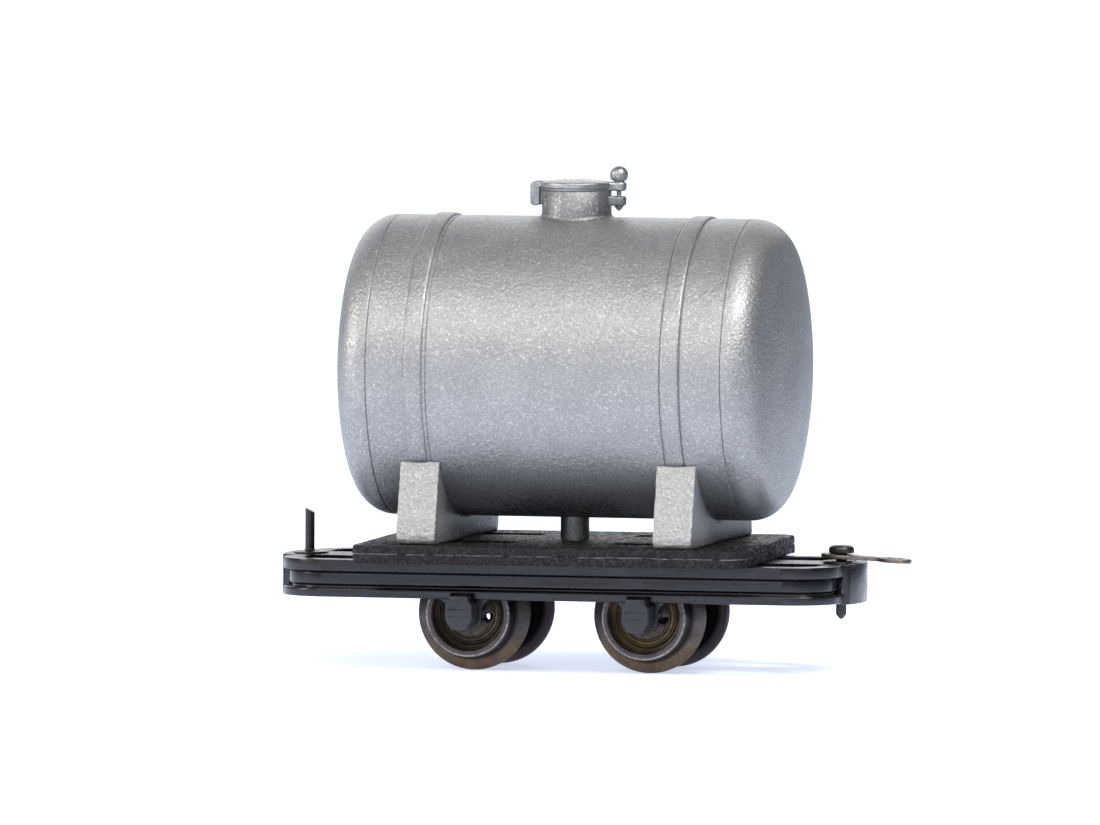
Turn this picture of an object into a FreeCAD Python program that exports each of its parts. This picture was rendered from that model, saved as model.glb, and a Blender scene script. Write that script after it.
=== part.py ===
"""Model tank wagon for 6.5 mm gauge narrow-gauge track, scale 1:87.

Frame of the part: X runs along the track, +X towards the end that carries the coupling link.
Z is up, and Z = 0 is the top of the rails. The origin is on the track's centre line, midway
between the two axles. All sizes are in millimetres.
"""
import FreeCAD, Part
import os
from math import cos, radians, sin, sqrt
from FreeCAD import Vector

# ---------------------------------------------------------------- driving dimensions
# Wheelsets
AXLE_X = 4.56               # each axle's distance from the middle of the wagon
TREAD_R = 2.21              # rolling radius
FLANGE_R = 2.91
WHEEL_OUT_Y = 4.31          # outer face of the rim
WHEEL_BACK_Y = 2.60         # back of the flange
FLANGE_T = 0.50
RIM_IN_R = 1.83             # inner edge of the rim's face
WEB_DEPTH = 0.85            # how far the web lies behind the rim's face
HUB_R = 0.62
SEAT_R = 0.38               # axle under the wheels
AXLE_WAIST_R = 0.24         # axle between the wheels
BUSH_R = 0.52               # insulating bush under one wheel of each axle
JOURNAL_R = 0.28
JOURNAL_END_Y = 5.85
WEB_HOLE_R = 0.32
WEB_HOLE_PITCH_R = 0.90
WEB_HOLE_ANGLES = {"a": (-6.5, 36.5), "b": (-2.5, 80.0)}    # near and far wheel of each axle
RUNNING_GAP = 0.05          # radial clearance of every turning or sliding fit

# Axle boxes and the guards that carry them
BOX_BACK_Y = 5.05
BOX_FRONT_Y = 6.30
BOX_TOP_Z = 3.24
BOX_BOTTOM_Z = 1.53
BOX_HALF_W = 0.68
BOX_CAP_HALF_W = 0.50
BOX_CAP_Z = 2.95            # below this the sides step out, down to the shoulder
BOX_SHOULDER_Z = 2.85
BOX_TAPER_Z = 2.08          # below this the sides close in to the foot
BOX_FOOT_HALF_W = 0.36
BOX_GROOVES_Z = (2.17, 2.49)
BOX_GROOVE_W = 0.06
SPIGOT_R = 0.48
GUARD_T = 0.30
GUARD_BOTTOM_Z = 1.70
GUARD_NECK_Z = 2.38
GUARD_LEG_HALF_W = 0.88
GUARD_TOP_HALF_W = 1.46

# Underframe: two outward-facing channel beams whose ends curve in to the buffer pads
BEAM_HALF_Y = 5.50
BEAM_INNER_Y = 4.45
BEAM_BOTTOM_Z = 3.02
BEAM_TOP_Z = 4.92
CHANNEL_DEPTH = 0.32
CHANNEL_LOW_Z = 3.47
CHANNEL_HIGH_Z = 4.35
FRAME_END_X = 14.40
FRAME_CORNER_R = 2.55
SILL_HALF_Y = 1.60
SILL_PLATE_T = 0.42
SILL_WEB_T = 0.30
CROSS_HALF_X = 0.50
CROSS_X = 8.60
PAD_HALF_Y = 2.15
PAD_CORNER_X = 14.70
PAD_FACE_X = 15.05
PAD_BOTTOM_Z = 2.93
PAD_TOP_Z = 4.95
BOSS_TOP_Z = 5.02
BOSS_HALF_Y = 1.30
BOSS_INNER_X = 12.85
BOX_NOTCH_HALF_X = 0.62     # notches in the beams over the axle boxes
BOX_NOTCH_TOP_Z = 3.34
BALLAST_HALF_X = 5.40
BALLAST_BOTTOM_Z = 3.28

# Coupling
PIN_X = 13.84
PIN_R = 0.24                # the upright pin, over which the next wagon's link drops
LINK_PIN_R = 0.27           # the pin that holds the link
PIN_HEAD_R = 0.635
PIN_HEAD_BOTTOM_Z = 5.42
PIN_HEAD_TOP_Z = 5.83
PIN_TIP_Z = 2.08
PIN_RECESS_TOP_Z = 3.43     # counterbores under the pads, for a pin put in from below
PRESS_R = 0.41              # the upright pin's thicker, pressed-in part
SHANK_BOTTOM_Z = 5.12       # a small cone joins it to the shank above the boss
UPRIGHT_PIN_TOP_Z = 7.40
UPRIGHT_PIN_CUT = 28        # slope of its cut end, degrees
LINK_T = 0.20
LINK_Z = 5.26               # middle of the link's thickness at the pin
LINK_DROOP = 3.5            # degrees
LINK_EYE_R = 1.05
LINK_RING_R = 0.87
LINK_RING_HOLE_R = 0.45
LINK_REACH = 2.76           # pin to centre of the ring
LINK_WAIST_HALF = 0.42
LINK_WAIST_FILLET_R = 0.35

# Deck: two thin boards, one on the other
DECK_HALF_X = 10.08
DECK_HALF_Y = 8.05
DECK_SKEW = 2.4             # degrees the deck sits askew on the underframe, as assembled
DECK_JOINT_Z = 5.40
DECK_TOP_Z = 5.825
DECK_CORNER_R = 0.90
SLOT_IN_X = 2.40            # slots that clear the wheel flanges
SLOT_OUT_X = 6.72
LOWER_SLOTS_Y = ((-3.95, -2.20), (2.20, 3.95))
UPPER_SLOTS_Y = ((-3.75, -2.15), (3.60, 5.10))
END_SLOT_IN_X = 7.90
END_SLOT_OUT_X = 9.20
END_SLOT_HALF_Y = 0.32
TANK_SCREW_R = 0.40
TANK_SCREW_HEAD_R = 0.80
TANK_SCREW_HEAD_H = 0.45
TANK_SCREW_TOP_Z = 6.675

# Tank
TANK_Z = 14.61
TANK_R = 7.63
TANK_WALL = 0.60
SEAM_X = 9.16
KNUCKLE_X = 9.25
KNUCKLE_R = 1.70
CROWN_R = 24.0
SADDLE_X = 6.63
SADDLE_HALF_X = 1.00
SADDLE_FOOT_Y = 7.10
SADDLE_FOOT_Z = 6.275        # top of the saddle's upright end faces
SADDLE_TOP_Z = 10.0
BAND_HALF_X = 0.48
BAND_T = 0.12
BAND_OFFSET = -0.08         # the bands lie a little to one side of the saddles' middles
OUTLET_R = 0.73
OUTLET_COLLAR_R = 0.78
OUTLET_COLLAR_H = 0.12
OUTLET_SPIGOT_R = 0.40
HATCH_SPIGOT_R = 1.00

# Filling hatch
NECK_R = 1.763
NECK_TOP_Z = 23.56
NECK_FLARE_R = 0.40
NECK_BORE_R = 0.70
LID_LIP_TOP_Z = 23.70
LID_EDGE_Z = 24.00
LID_CROWN_Z = 24.14
LID_R = 1.83
STRAP_HALF_Y = 0.45
STRAP_OUT_X = -2.34
STRAP_LEG_X = -1.84
STRAP_FOOT_Z = 22.79
LUG_R = 0.38                # rounded ends of the two clamp lugs
LOWER_LUG_BOTTOM_Z = 22.82
LOWER_LUG_TOP_Z = 23.31
UPPER_LUG_TOP_Z = 24.03
BOLT_X = 2.19
BOLT_R = 0.12
KNOB_R = 0.457
KNOB_Z = 24.38
KNOB_FOOT_R = 0.26
BOLT_TOP_Z = 24.173         # end of the bolt, inside the ball nut

BEYOND = 30.0               # how far cutting solids reach, clear of everything

X_AXIS = Vector(1, 0, 0)
Y_AXIS = Vector(0, 1, 0)
Z_AXIS = Vector(0, 0, 1)


# ---------------------------------------------------------------- helpers
def box(x0, x1, y0, y1, z0, z1):
    """A block between two corners."""
    return Part.makeBox(x1 - x0, y1 - y0, z1 - z0, Vector(x0, y0, z0))


def rod(radius, start, end):
    """A round bar from one point to another."""
    return Part.makeCylinder(radius, (end - start).Length, start, end - start)


def rounded_block(half_x, half_y, radius, z0, z1):
    """A block about the Z axis whose upright edges are rounded."""
    block = box(-half_x, half_x, -half_y, half_y, z0, z1)
    upright = [e for e in block.Edges if abs(e.tangentAt(e.FirstParameter).z) > 0.99]
    return block.makeFillet(radius, upright)


def revolved(profile, axis):
    """Turn a closed profile of (height along the axis, radius) points about an axis through 0."""
    side = Z_AXIS if axis != Z_AXIS else X_AXIS
    points = [axis * h + side * r for h, r in profile]
    face = Part.Face(Part.makePolygon(points + points[:1]))
    return face.revolve(Vector(0, 0, 0), axis, 360)


def outline(edges, depth):
    """Extrude a closed run of edges along a vector."""
    return Part.Face(Part.Wire(Part.__sortEdges__(edges))).extrude(depth)


def polygon(points, depth):
    """Extrude a closed polygon along a vector."""
    return Part.Face(Part.makePolygon(points + points[:1])).extrude(depth)


def line(a, b):
    return Part.LineSegment(a, b).toShape()


def arc(a, middle, b):
    return Part.Arc(a, middle, b).toShape()


def edges_at(shape, test):
    """The shape's edges whose middle point passes a test."""
    chosen = []
    for edge in shape.Edges:
        middle = edge.valueAt((edge.FirstParameter + edge.LastParameter) / 2)
        if test(middle):
            chosen.append(edge)
    return chosen


def turned_about_z(shape, angle):
    copy = shape.copy()
    copy.rotate(Vector(0, 0, 0), Z_AXIS, angle)
    return copy


def save(name, shape):
    """Write one sub-part, and stop if it isn't sound."""
    if not shape.isValid() or not shape.Solids:
        raise ValueError("bad shape: " + name)
    solid = shape.Solids[0]
    if len(shape.Solids) > 1:
        solid = Part.Compound(shape.Solids)
    solid.exportStep("parts/" + name + ".step")
    print(f"{name:24s} solids {len(shape.Solids)}  volume {shape.Volume:9.3f}")


# ---------------------------------------------------------------- wheelsets
def wheel(bore_r, hole_angle):
    """One turned wheel on the +Y side of an axle through the origin along Y."""
    face = WHEEL_OUT_Y
    back = WHEEL_BACK_Y
    web = face - WEB_DEPTH
    profile = [
        (back, bore_r), (back, HUB_R + 0.45), (back + 0.22, HUB_R + 0.60),
        (back + 0.22, RIM_IN_R - 0.10), (back, RIM_IN_R + 0.10),
        (back, FLANGE_R - 0.10), (back + 0.08, FLANGE_R), (back + 0.20, FLANGE_R),
        (back + FLANGE_T, TREAD_R + 0.16), (back + FLANGE_T + 0.12, TREAD_R + 0.03),
        (face - 0.10, TREAD_R - 0.04), (face, TREAD_R - 0.12),
        (face, RIM_IN_R + 0.05), (face - 0.05, RIM_IN_R), (web, RIM_IN_R),
        (web + 0.05, 1.62), (web + 0.12, 1.54), (web + 0.20, 1.30), (web + 0.26, 1.20),
        (web + 0.28, HUB_R), (web + 0.50, HUB_R - 0.03), (web + 0.50, bore_r),
    ]
    body = revolved(profile, Y_AXIS)
    for turn in (0, 180):
        a = radians(hole_angle + turn)
        centre = Vector(WEB_HOLE_PITCH_R * cos(a), 0, WEB_HOLE_PITCH_R * sin(a))
        body = body.cut(rod(WEB_HOLE_R, centre, centre + Y_AXIS * (face + 1)))
    return body


def placed_wheel(axle_x, side, bore_r, hole_angle):
    """A wheel on its axle; side is -1 or +1 along Y."""
    body = wheel(bore_r, hole_angle if side > 0 else 180 - hole_angle)
    if side < 0:
        body = turned_about_z(body, 180)
    body.translate(Vector(axle_x, 0, TREAD_R))
    return body


def axle(axle_x):
    """A turned axle: thin middle, two wheel seats, two pointed journals."""
    hub_y = WHEEL_OUT_Y - WEB_DEPTH + 0.54
    profile = [
        (-JOURNAL_END_Y, 0), (-JOURNAL_END_Y + 0.22, JOURNAL_R), (-hub_y - 0.10, JOURNAL_R),
        (-hub_y, SEAT_R), (-WHEEL_BACK_Y, SEAT_R), (-WHEEL_BACK_Y + 0.15, AXLE_WAIST_R),
        (WHEEL_BACK_Y - 0.15, AXLE_WAIST_R), (WHEEL_BACK_Y, SEAT_R), (hub_y, SEAT_R),
        (hub_y + 0.10, JOURNAL_R), (JOURNAL_END_Y - 0.22, JOURNAL_R), (JOURNAL_END_Y, 0),
    ]
    body = revolved(profile, Y_AXIS)
    body.translate(Vector(axle_x, 0, TREAD_R))
    return body


def insulating_bush(axle_x, side):
    """The plastic sleeve that insulates one wheel from its axle."""
    y0 = WHEEL_BACK_Y * side
    y1 = (WHEEL_OUT_Y - WEB_DEPTH + 0.50) * side
    start = Vector(axle_x, y0, TREAD_R)
    end = Vector(axle_x, y1, TREAD_R)
    return rod(BUSH_R, start, end).cut(rod(SEAT_R, start, end))


def axle_box(axle_x, side):
    """A grease box with a blind bearing hole, on the outside of its guard."""
    def corner(x, z):
        return Vector(x, BOX_BACK_Y, z)

    half = [(BOX_CAP_HALF_W, BOX_TOP_Z), (BOX_CAP_HALF_W, BOX_CAP_Z), (BOX_HALF_W, BOX_SHOULDER_Z),
            (BOX_HALF_W, BOX_TAPER_Z), (BOX_FOOT_HALF_W, BOX_BOTTOM_Z)]
    points = [corner(x, z) for x, z in half] + [corner(-x, z) for x, z in reversed(half)]
    body = polygon(points, Vector(0, BOX_FRONT_Y - BOX_BACK_Y, 0))
    front = edges_at(body, lambda m: m.y > BOX_FRONT_Y - 0.01)
    body = body.makeChamfer(0.09, front)
    groove_half = BOX_HALF_W - 0.16
    for z in BOX_GROOVES_Z:
        body = body.cut(box(-groove_half, groove_half, BOX_FRONT_Y - 0.05, BEYOND, z, z + BOX_GROOVE_W))
    spigot_start = Vector(0, BOX_BACK_Y - GUARD_T + 0.03, TREAD_R)
    body = body.fuse(rod(SPIGOT_R, spigot_start, Vector(0, BOX_BACK_Y + 0.1, TREAD_R)))
    bore_start = Vector(0, BOX_BACK_Y - 1, TREAD_R)
    bore_end = Vector(0, JOURNAL_END_Y + 0.10, TREAD_R)
    body = body.cut(rod(JOURNAL_R + RUNNING_GAP, bore_start, bore_end)).removeSplitter()
    if side < 0:
        body = turned_about_z(body, 180)
    body.translate(Vector(axle_x, 0, 0))
    return body


# ---------------------------------------------------------------- underframe
def axle_guard(axle_x, side):
    """A plate under the beam with curved shoulders and a slot open at the bottom."""
    y = BOX_BACK_Y - GUARD_T

    def at(x, z):
        return Vector(x, y, z)

    top_z = BEAM_BOTTOM_Z + 0.2
    neck_z = GUARD_NECK_Z
    leg_w = GUARD_LEG_HALF_W
    top_w = GUARD_TOP_HALF_W
    arc_mid = at(leg_w + 0.14, neck_z + 0.41)
    arc_mid_left = at(-leg_w - 0.14, neck_z + 0.41)
    edges = [
        line(at(-top_w, top_z), at(top_w, top_z)),
        line(at(top_w, top_z), at(top_w, BEAM_BOTTOM_Z)),
        arc(at(top_w, BEAM_BOTTOM_Z), arc_mid, at(leg_w, neck_z)),
        line(at(leg_w, neck_z), at(leg_w, GUARD_BOTTOM_Z)),
        line(at(leg_w, GUARD_BOTTOM_Z), at(-leg_w, GUARD_BOTTOM_Z)),
        line(at(-leg_w, GUARD_BOTTOM_Z), at(-leg_w, neck_z)),
        arc(at(-leg_w, neck_z), arc_mid_left, at(-top_w, BEAM_BOTTOM_Z)),
        line(at(-top_w, BEAM_BOTTOM_Z), at(-top_w, top_z)),
    ]
    plate = outline(edges, Vector(0, GUARD_T, 0))
    slot_r = SPIGOT_R + 0.02
    slot = rod(slot_r, Vector(0, 0, TREAD_R), Vector(0, BEYOND, TREAD_R))
    slot = slot.fuse(box(-slot_r, slot_r, 0, BEYOND, 0, TREAD_R))
    plate = plate.cut(slot)
    if side < 0:
        plate = turned_about_z(plate, 180)
    plate.translate(Vector(axle_x, 0, 0))
    return plate


def frame_end():
    """The +X end: buffer pad with a curved face, and the rounded boss for the coupling pin."""
    wall_x = FRAME_END_X - 0.30
    low = Vector(0, 0, PAD_BOTTOM_Z)

    def at(x, y):
        return low + Vector(x, y, 0)

    corner_a = at(PAD_CORNER_X, -PAD_HALF_Y)
    corner_b = at(PAD_CORNER_X, PAD_HALF_Y)
    pad = outline([
        line(at(wall_x, -PAD_HALF_Y), corner_a), arc(corner_a, at(PAD_FACE_X, 0), corner_b),
        line(corner_b, at(wall_x, PAD_HALF_Y)), line(at(wall_x, PAD_HALF_Y), at(wall_x, -PAD_HALF_Y)),
    ], Vector(0, 0, PAD_TOP_Z - PAD_BOTTOM_Z))
    round_x = BOSS_INNER_X + BOSS_HALF_Y
    boss_x = wall_x + 0.1
    boss = box(round_x, boss_x, -BOSS_HALF_Y, BOSS_HALF_Y, PAD_BOTTOM_Z, BOSS_TOP_Z)
    boss = boss.fuse(rod(BOSS_HALF_Y, Vector(round_x, 0, PAD_BOTTOM_Z), Vector(round_x, 0, BOSS_TOP_Z)))
    return pad.fuse(boss.cut(box(boss_x, BEYOND, -BEYOND, BEYOND, 0, BEYOND)))


def frame_moulding():
    """Beams, ends, sill, cross members and axle guards: one moulding."""
    thickness = BEAM_HALF_Y - BEAM_INNER_Y
    body = rounded_block(FRAME_END_X, BEAM_HALF_Y, FRAME_CORNER_R, BEAM_BOTTOM_Z, BEAM_TOP_Z)
    inside = rounded_block(FRAME_END_X - thickness, BEAM_INNER_Y, FRAME_CORNER_R - thickness,
                           BEAM_BOTTOM_Z - 1, BEAM_TOP_Z + 1)
    body = body.cut(inside)
    groove = box(-BEYOND, BEYOND, -BEYOND, BEYOND, CHANNEL_LOW_Z, CHANNEL_HIGH_Z)
    groove = groove.cut(rounded_block(FRAME_END_X - CHANNEL_DEPTH, BEAM_HALF_Y - CHANNEL_DEPTH,
                                      FRAME_CORNER_R - CHANNEL_DEPTH, CHANNEL_LOW_Z, CHANNEL_HIGH_Z))
    body = body.cut(groove)
    reach = FRAME_END_X - thickness + 0.2
    plate_z = BEAM_TOP_Z - SILL_PLATE_T
    web_y = SILL_HALF_Y - SILL_WEB_T
    body = body.fuse(box(-reach, reach, -SILL_HALF_Y, SILL_HALF_Y, plate_z, BEAM_TOP_Z))
    for side in (-1, 1):
        low, high = sorted((side * web_y, side * SILL_HALF_Y))
        body = body.fuse(box(-reach, reach, low, high, BEAM_BOTTOM_Z + 0.12, plate_z))
    for x in (-CROSS_X, 0, CROSS_X):
        for side in (-1, 1):
            low, high = sorted((side * (SILL_HALF_Y - 0.1), side * (BEAM_INNER_Y + 0.1)))
            body = body.fuse(box(x - CROSS_HALF_X, x + CROSS_HALF_X, low, high, CHANNEL_LOW_Z, BEAM_TOP_Z))
    end = frame_end()
    body = body.fuse([end, turned_about_z(end, 180)])
    for x in (-AXLE_X, AXLE_X):
        for side in (-1, 1):
            low, high = sorted((side * (BOX_BACK_Y - 0.02), side * (BEAM_HALF_Y + 1)))
            notch = box(x - BOX_NOTCH_HALF_X, x + BOX_NOTCH_HALF_X, low, high, 0, BOX_NOTCH_TOP_Z)
            body = body.cut(notch).fuse(axle_guard(x, side))
    shank_top = Vector(0, 0, BOSS_TOP_Z + 1)
    shank_low = Vector(0, 0, PAD_BOTTOM_Z - 1)
    for x, radius in ((PIN_X, LINK_PIN_R + RUNNING_GAP), (-PIN_X, PRESS_R)):
        at = Vector(x, 0, 0)
        body = body.cut(rod(radius, at + shank_low, at + shank_top))
        recess_top = at + Vector(0, 0, PIN_RECESS_TOP_Z)
        body = body.cut(rod(PIN_HEAD_R + 0.03, at + shank_low, recess_top))
    for x in (-SADDLE_X, SADDLE_X):
        body = body.cut(rod(TANK_SCREW_R, Vector(x, 0, 0), Vector(x, 0, BEYOND)))
    return body.removeSplitter()


def ballast_bar():
    """The steel weight inside the hollow sill."""
    half_y = SILL_HALF_Y - SILL_WEB_T - 0.05
    top = BEAM_TOP_Z - SILL_PLATE_T
    bar = box(-BALLAST_HALF_X, BALLAST_HALF_X, -half_y, half_y, BALLAST_BOTTOM_Z, top)
    return bar.makeChamfer(0.08, bar.Edges)


# ---------------------------------------------------------------- deck and its screws
def deck_board(z0, z1, slots_y, has_end_slots):
    """One board of the deck, with slots over the wheels."""
    board = rounded_block(DECK_HALF_X, DECK_HALF_Y, DECK_CORNER_R, z0, z1)
    outer = edges_at(board, lambda m: abs(m.z - z1) < 1e-6)
    board = board.makeFillet(0.07, outer)
    for sx in (-1, 1):
        x0, x1 = sorted((sx * SLOT_IN_X, sx * SLOT_OUT_X))
        for y0, y1 in slots_y:
            board = board.cut(box(x0, x1, y0, y1, 0, BEYOND))
        if has_end_slots:
            x0, x1 = sorted((sx * END_SLOT_IN_X, sx * END_SLOT_OUT_X))
            board = board.cut(box(x0, x1, -END_SLOT_HALF_Y, END_SLOT_HALF_Y, 0, BEYOND))
    board.rotate(Vector(0, 0, 0), Z_AXIS, DECK_SKEW)
    for x in (-SADDLE_X, SADDLE_X):
        board = board.cut(rod(TANK_SCREW_R, Vector(x, 0, 0), Vector(x, 0, BEYOND)))
    return board


def tank_screws():
    """Two screws up through the sill and the deck into the saddles."""
    head_top = BEAM_TOP_Z - SILL_PLATE_T
    head_low = head_top - TANK_SCREW_HEAD_H
    screws = []
    for x in (-SADDLE_X, SADDLE_X):
        profile = [(head_low, 0), (head_low, TANK_SCREW_HEAD_R - 0.12),
                   (head_low + 0.15, TANK_SCREW_HEAD_R), (head_top, TANK_SCREW_HEAD_R),
                   (head_top, TANK_SCREW_R), (TANK_SCREW_TOP_Z - 0.15, TANK_SCREW_R),
                   (TANK_SCREW_TOP_Z, TANK_SCREW_R - 0.15), (TANK_SCREW_TOP_Z, 0)]
        screw = revolved(profile, Z_AXIS)
        slot = box(-1, 1, -0.09, 0.09, 0, head_low + 0.18)
        screw = screw.cut(turned_about_z(slot, 35 * x))
        screw.translate(Vector(x, 0, 0))
        screws.append(screw)
    return Part.makeCompound(screws)


# ---------------------------------------------------------------- tank
def tank_cylinder(radius, x0, x1):
    return rod(radius, Vector(x0, 0, TANK_Z), Vector(x1, 0, TANK_Z))


def tank_barrel():
    """The tank's rolled middle, a hollow tube with holes for the hatch and the outlet."""
    body = tank_cylinder(TANK_R, -SEAM_X, SEAM_X)
    rims = edges_at(body, lambda m: abs(abs(m.x) - SEAM_X) < 1e-6)
    body = body.makeChamfer(0.04, rims)
    body = body.cut(tank_cylinder(TANK_R - TANK_WALL, -BEYOND, BEYOND))
    body = body.cut(rod(HATCH_SPIGOT_R + 0.02, Vector(0, 0, TANK_Z), Vector(0, 0, BEYOND)))
    return body.cut(rod(OUTLET_SPIGOT_R + 0.02, Vector(0, 0, 0), Vector(0, 0, TANK_Z)))


def dished_profile(inset):
    """Corner points of a dished end: where the knuckle starts, its middle, where the crown starts."""
    knuckle_r = KNUCKLE_R - inset
    crown_r = CROWN_R - inset
    centre_r = TANK_R - KNUCKLE_R
    crown_x = KNUCKLE_X - sqrt((CROWN_R - KNUCKLE_R) ** 2 - centre_r ** 2)
    length = CROWN_R - KNUCKLE_R
    direction = Vector((KNUCKLE_X - crown_x) / length, 0, centre_r / length)
    knuckle_centre = Vector(KNUCKLE_X, 0, centre_r)
    half_way = (direction + Z_AXIS).normalize()
    start = knuckle_centre + Z_AXIS * knuckle_r
    middle = knuckle_centre + half_way * knuckle_r
    join = knuckle_centre + direction * knuckle_r
    apex = Vector(crown_x + crown_r, 0, 0)
    crown_half = Vector(crown_x, 0, 0) + (direction + X_AXIS).normalize() * crown_r
    return start, middle, join, crown_half, apex


def tank_end(side):
    """A dished end with a spigot that slides into the barrel."""
    outer = dished_profile(0)
    inner = dished_profile(TANK_WALL)
    seam_outer = Vector(SEAM_X, 0, TANK_R)
    spigot_r = TANK_R - TANK_WALL - 0.02
    spigot_x = SEAM_X - 1.0
    spigot_inner_r = spigot_r - 0.35
    wall_r = inner[0].z
    edges = [
        line(Vector(SEAM_X, 0, spigot_r), seam_outer), line(seam_outer, outer[0]),
        arc(outer[0], outer[1], outer[2]), arc(outer[2], outer[3], outer[4]),
        line(outer[4], inner[4]),
        arc(inner[4], inner[3], inner[2]), arc(inner[2], inner[1], inner[0]),
        line(inner[0], Vector(SEAM_X + 0.02, 0, wall_r)),
        line(Vector(SEAM_X + 0.02, 0, wall_r), Vector(SEAM_X + 0.02, 0, spigot_inner_r)),
        line(Vector(SEAM_X + 0.02, 0, spigot_inner_r), Vector(spigot_x, 0, spigot_inner_r)),
        line(Vector(spigot_x, 0, spigot_inner_r), Vector(spigot_x, 0, spigot_r)),
        line(Vector(spigot_x, 0, spigot_r), Vector(SEAM_X, 0, spigot_r)),
    ]
    face = Part.Face(Part.Wire(Part.__sortEdges__(edges)))
    body = face.revolve(Vector(0, 0, 0), X_AXIS, 360)
    if side < 0:
        body = turned_about_z(body, 180)
    body.translate(Vector(0, 0, TANK_Z))
    return body


def saddle(x):
    """A cradle across the deck whose ends taper up the side of the tank."""
    top_y = sqrt(TANK_R ** 2 - (TANK_Z - SADDLE_TOP_Z) ** 2)
    at_x = x - SADDLE_HALF_X
    half = [(SADDLE_FOOT_Y, DECK_TOP_Z), (SADDLE_FOOT_Y, SADDLE_FOOT_Z), (top_y + 0.06, SADDLE_TOP_Z)]
    points = [Vector(at_x, y, z) for y, z in half] + [Vector(at_x, -y, z) for y, z in reversed(half)]
    body = polygon(points, Vector(2 * SADDLE_HALF_X, 0, 0))
    ends = edges_at(body, lambda m: abs(m.y) > 6 and abs(abs(m.x - x) - SADDLE_HALF_X) < 1e-6)
    body = body.makeFillet(0.10, ends)
    body = body.cut(tank_cylinder(TANK_R, -BEYOND, BEYOND))
    return body.cut(rod(TANK_SCREW_R, Vector(x, 0, 0), Vector(x, 0, TANK_SCREW_TOP_Z)))


def tank_band(x):
    """A strap over the tank, from one tip of a saddle to the other."""
    ring = tank_cylinder(TANK_R + BAND_T, x - BAND_HALF_X, x + BAND_HALF_X)
    ring = ring.makeChamfer(0.04, edges_at(ring, lambda m: abs(m.z - TANK_Z) > 1))
    ring = ring.cut(tank_cylinder(TANK_R, -BEYOND, BEYOND))
    return ring.cut(box(-BEYOND, BEYOND, -BEYOND, BEYOND, 0, SADDLE_TOP_Z + 0.02))


def outlet_pipe():
    """The drain stub under the tank, with a spigot into the barrel and a collar on the deck."""
    deck = Vector(0, 0, DECK_TOP_Z)
    tank_bottom = TANK_Z - TANK_R
    stub = rod(OUTLET_R, deck, Vector(0, 0, tank_bottom + 0.4))
    collar = rod(OUTLET_COLLAR_R, deck, deck + Vector(0, 0, OUTLET_COLLAR_H))
    body = stub.fuse(collar).cut(tank_cylinder(TANK_R, -BEYOND, BEYOND))
    spigot_top = Vector(0, 0, tank_bottom + TANK_WALL + 0.3)
    spigot = rod(OUTLET_SPIGOT_R, deck + Vector(0, 0, 0.2), spigot_top)
    return body.fuse(spigot).removeSplitter()


# ---------------------------------------------------------------- filling hatch
def hatch_neck():
    """The neck, flared where it meets the tank, with the lower lug of the clamp."""
    tank_top = TANK_Z + TANK_R
    inside_z = tank_top - 1.6
    flare = NECK_FLARE_R
    flare_z = tank_top + 0.25
    flare_middle = Vector(NECK_R + flare * (1 - cos(radians(45))), 0, flare_z - flare * sin(radians(45)))
    edges = [
        line(Vector(0, 0, inside_z), Vector(NECK_R + flare, 0, inside_z)),
        line(Vector(NECK_R + flare, 0, inside_z), Vector(NECK_R + flare, 0, flare_z - flare)),
        arc(Vector(NECK_R + flare, 0, flare_z - flare), flare_middle, Vector(NECK_R, 0, flare_z)),
        line(Vector(NECK_R, 0, flare_z), Vector(NECK_R, 0, NECK_TOP_Z)),
        line(Vector(NECK_R, 0, NECK_TOP_Z), Vector(0, 0, NECK_TOP_Z)),
        line(Vector(0, 0, NECK_TOP_Z), Vector(0, 0, inside_z)),
    ]
    face = Part.Face(Part.Wire(Part.__sortEdges__(edges)))
    body = face.revolve(Vector(0, 0, 0), Z_AXIS, 360)
    body = body.cut(tank_cylinder(TANK_R, -BEYOND, BEYOND))
    spigot_low = Vector(0, 0, tank_top - TANK_WALL - 0.2)
    body = body.fuse(rod(HATCH_SPIGOT_R, spigot_low, Vector(0, 0, tank_top + 0.5)))
    body = body.fuse(clamp_lug(LOWER_LUG_BOTTOM_Z, LOWER_LUG_TOP_Z, NECK_R - 0.3)).removeSplitter()
    body = body.cut(rod(BOLT_R, Vector(BOLT_X, 0, 0), Vector(BOLT_X, 0, BEYOND)))
    body = body.cut(rod(NECK_BORE_R, Vector(0, 0, tank_top), Vector(0, 0, BEYOND)))
    pit = Vector(-1.33, -1.16, 23.17)
    return body.cut(Part.makeSphere(0.11, pit))


def clamp_lug(z0, z1, inner_x):
    """A lug on the +X side of the hatch with a rounded end around the clamp bolt."""
    lug = box(inner_x, BOLT_X, -LUG_R, LUG_R, z0, z1)
    lug = lug.fuse(rod(LUG_R, Vector(BOLT_X, 0, z0), Vector(BOLT_X, 0, z1))).removeSplitter()
    rims = edges_at(lug, lambda m: m.x > BOLT_X + 0.1 and min(abs(m.z - z0), abs(m.z - z1)) < 1e-6)
    return lug.makeFillet(0.15, rims)


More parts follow.
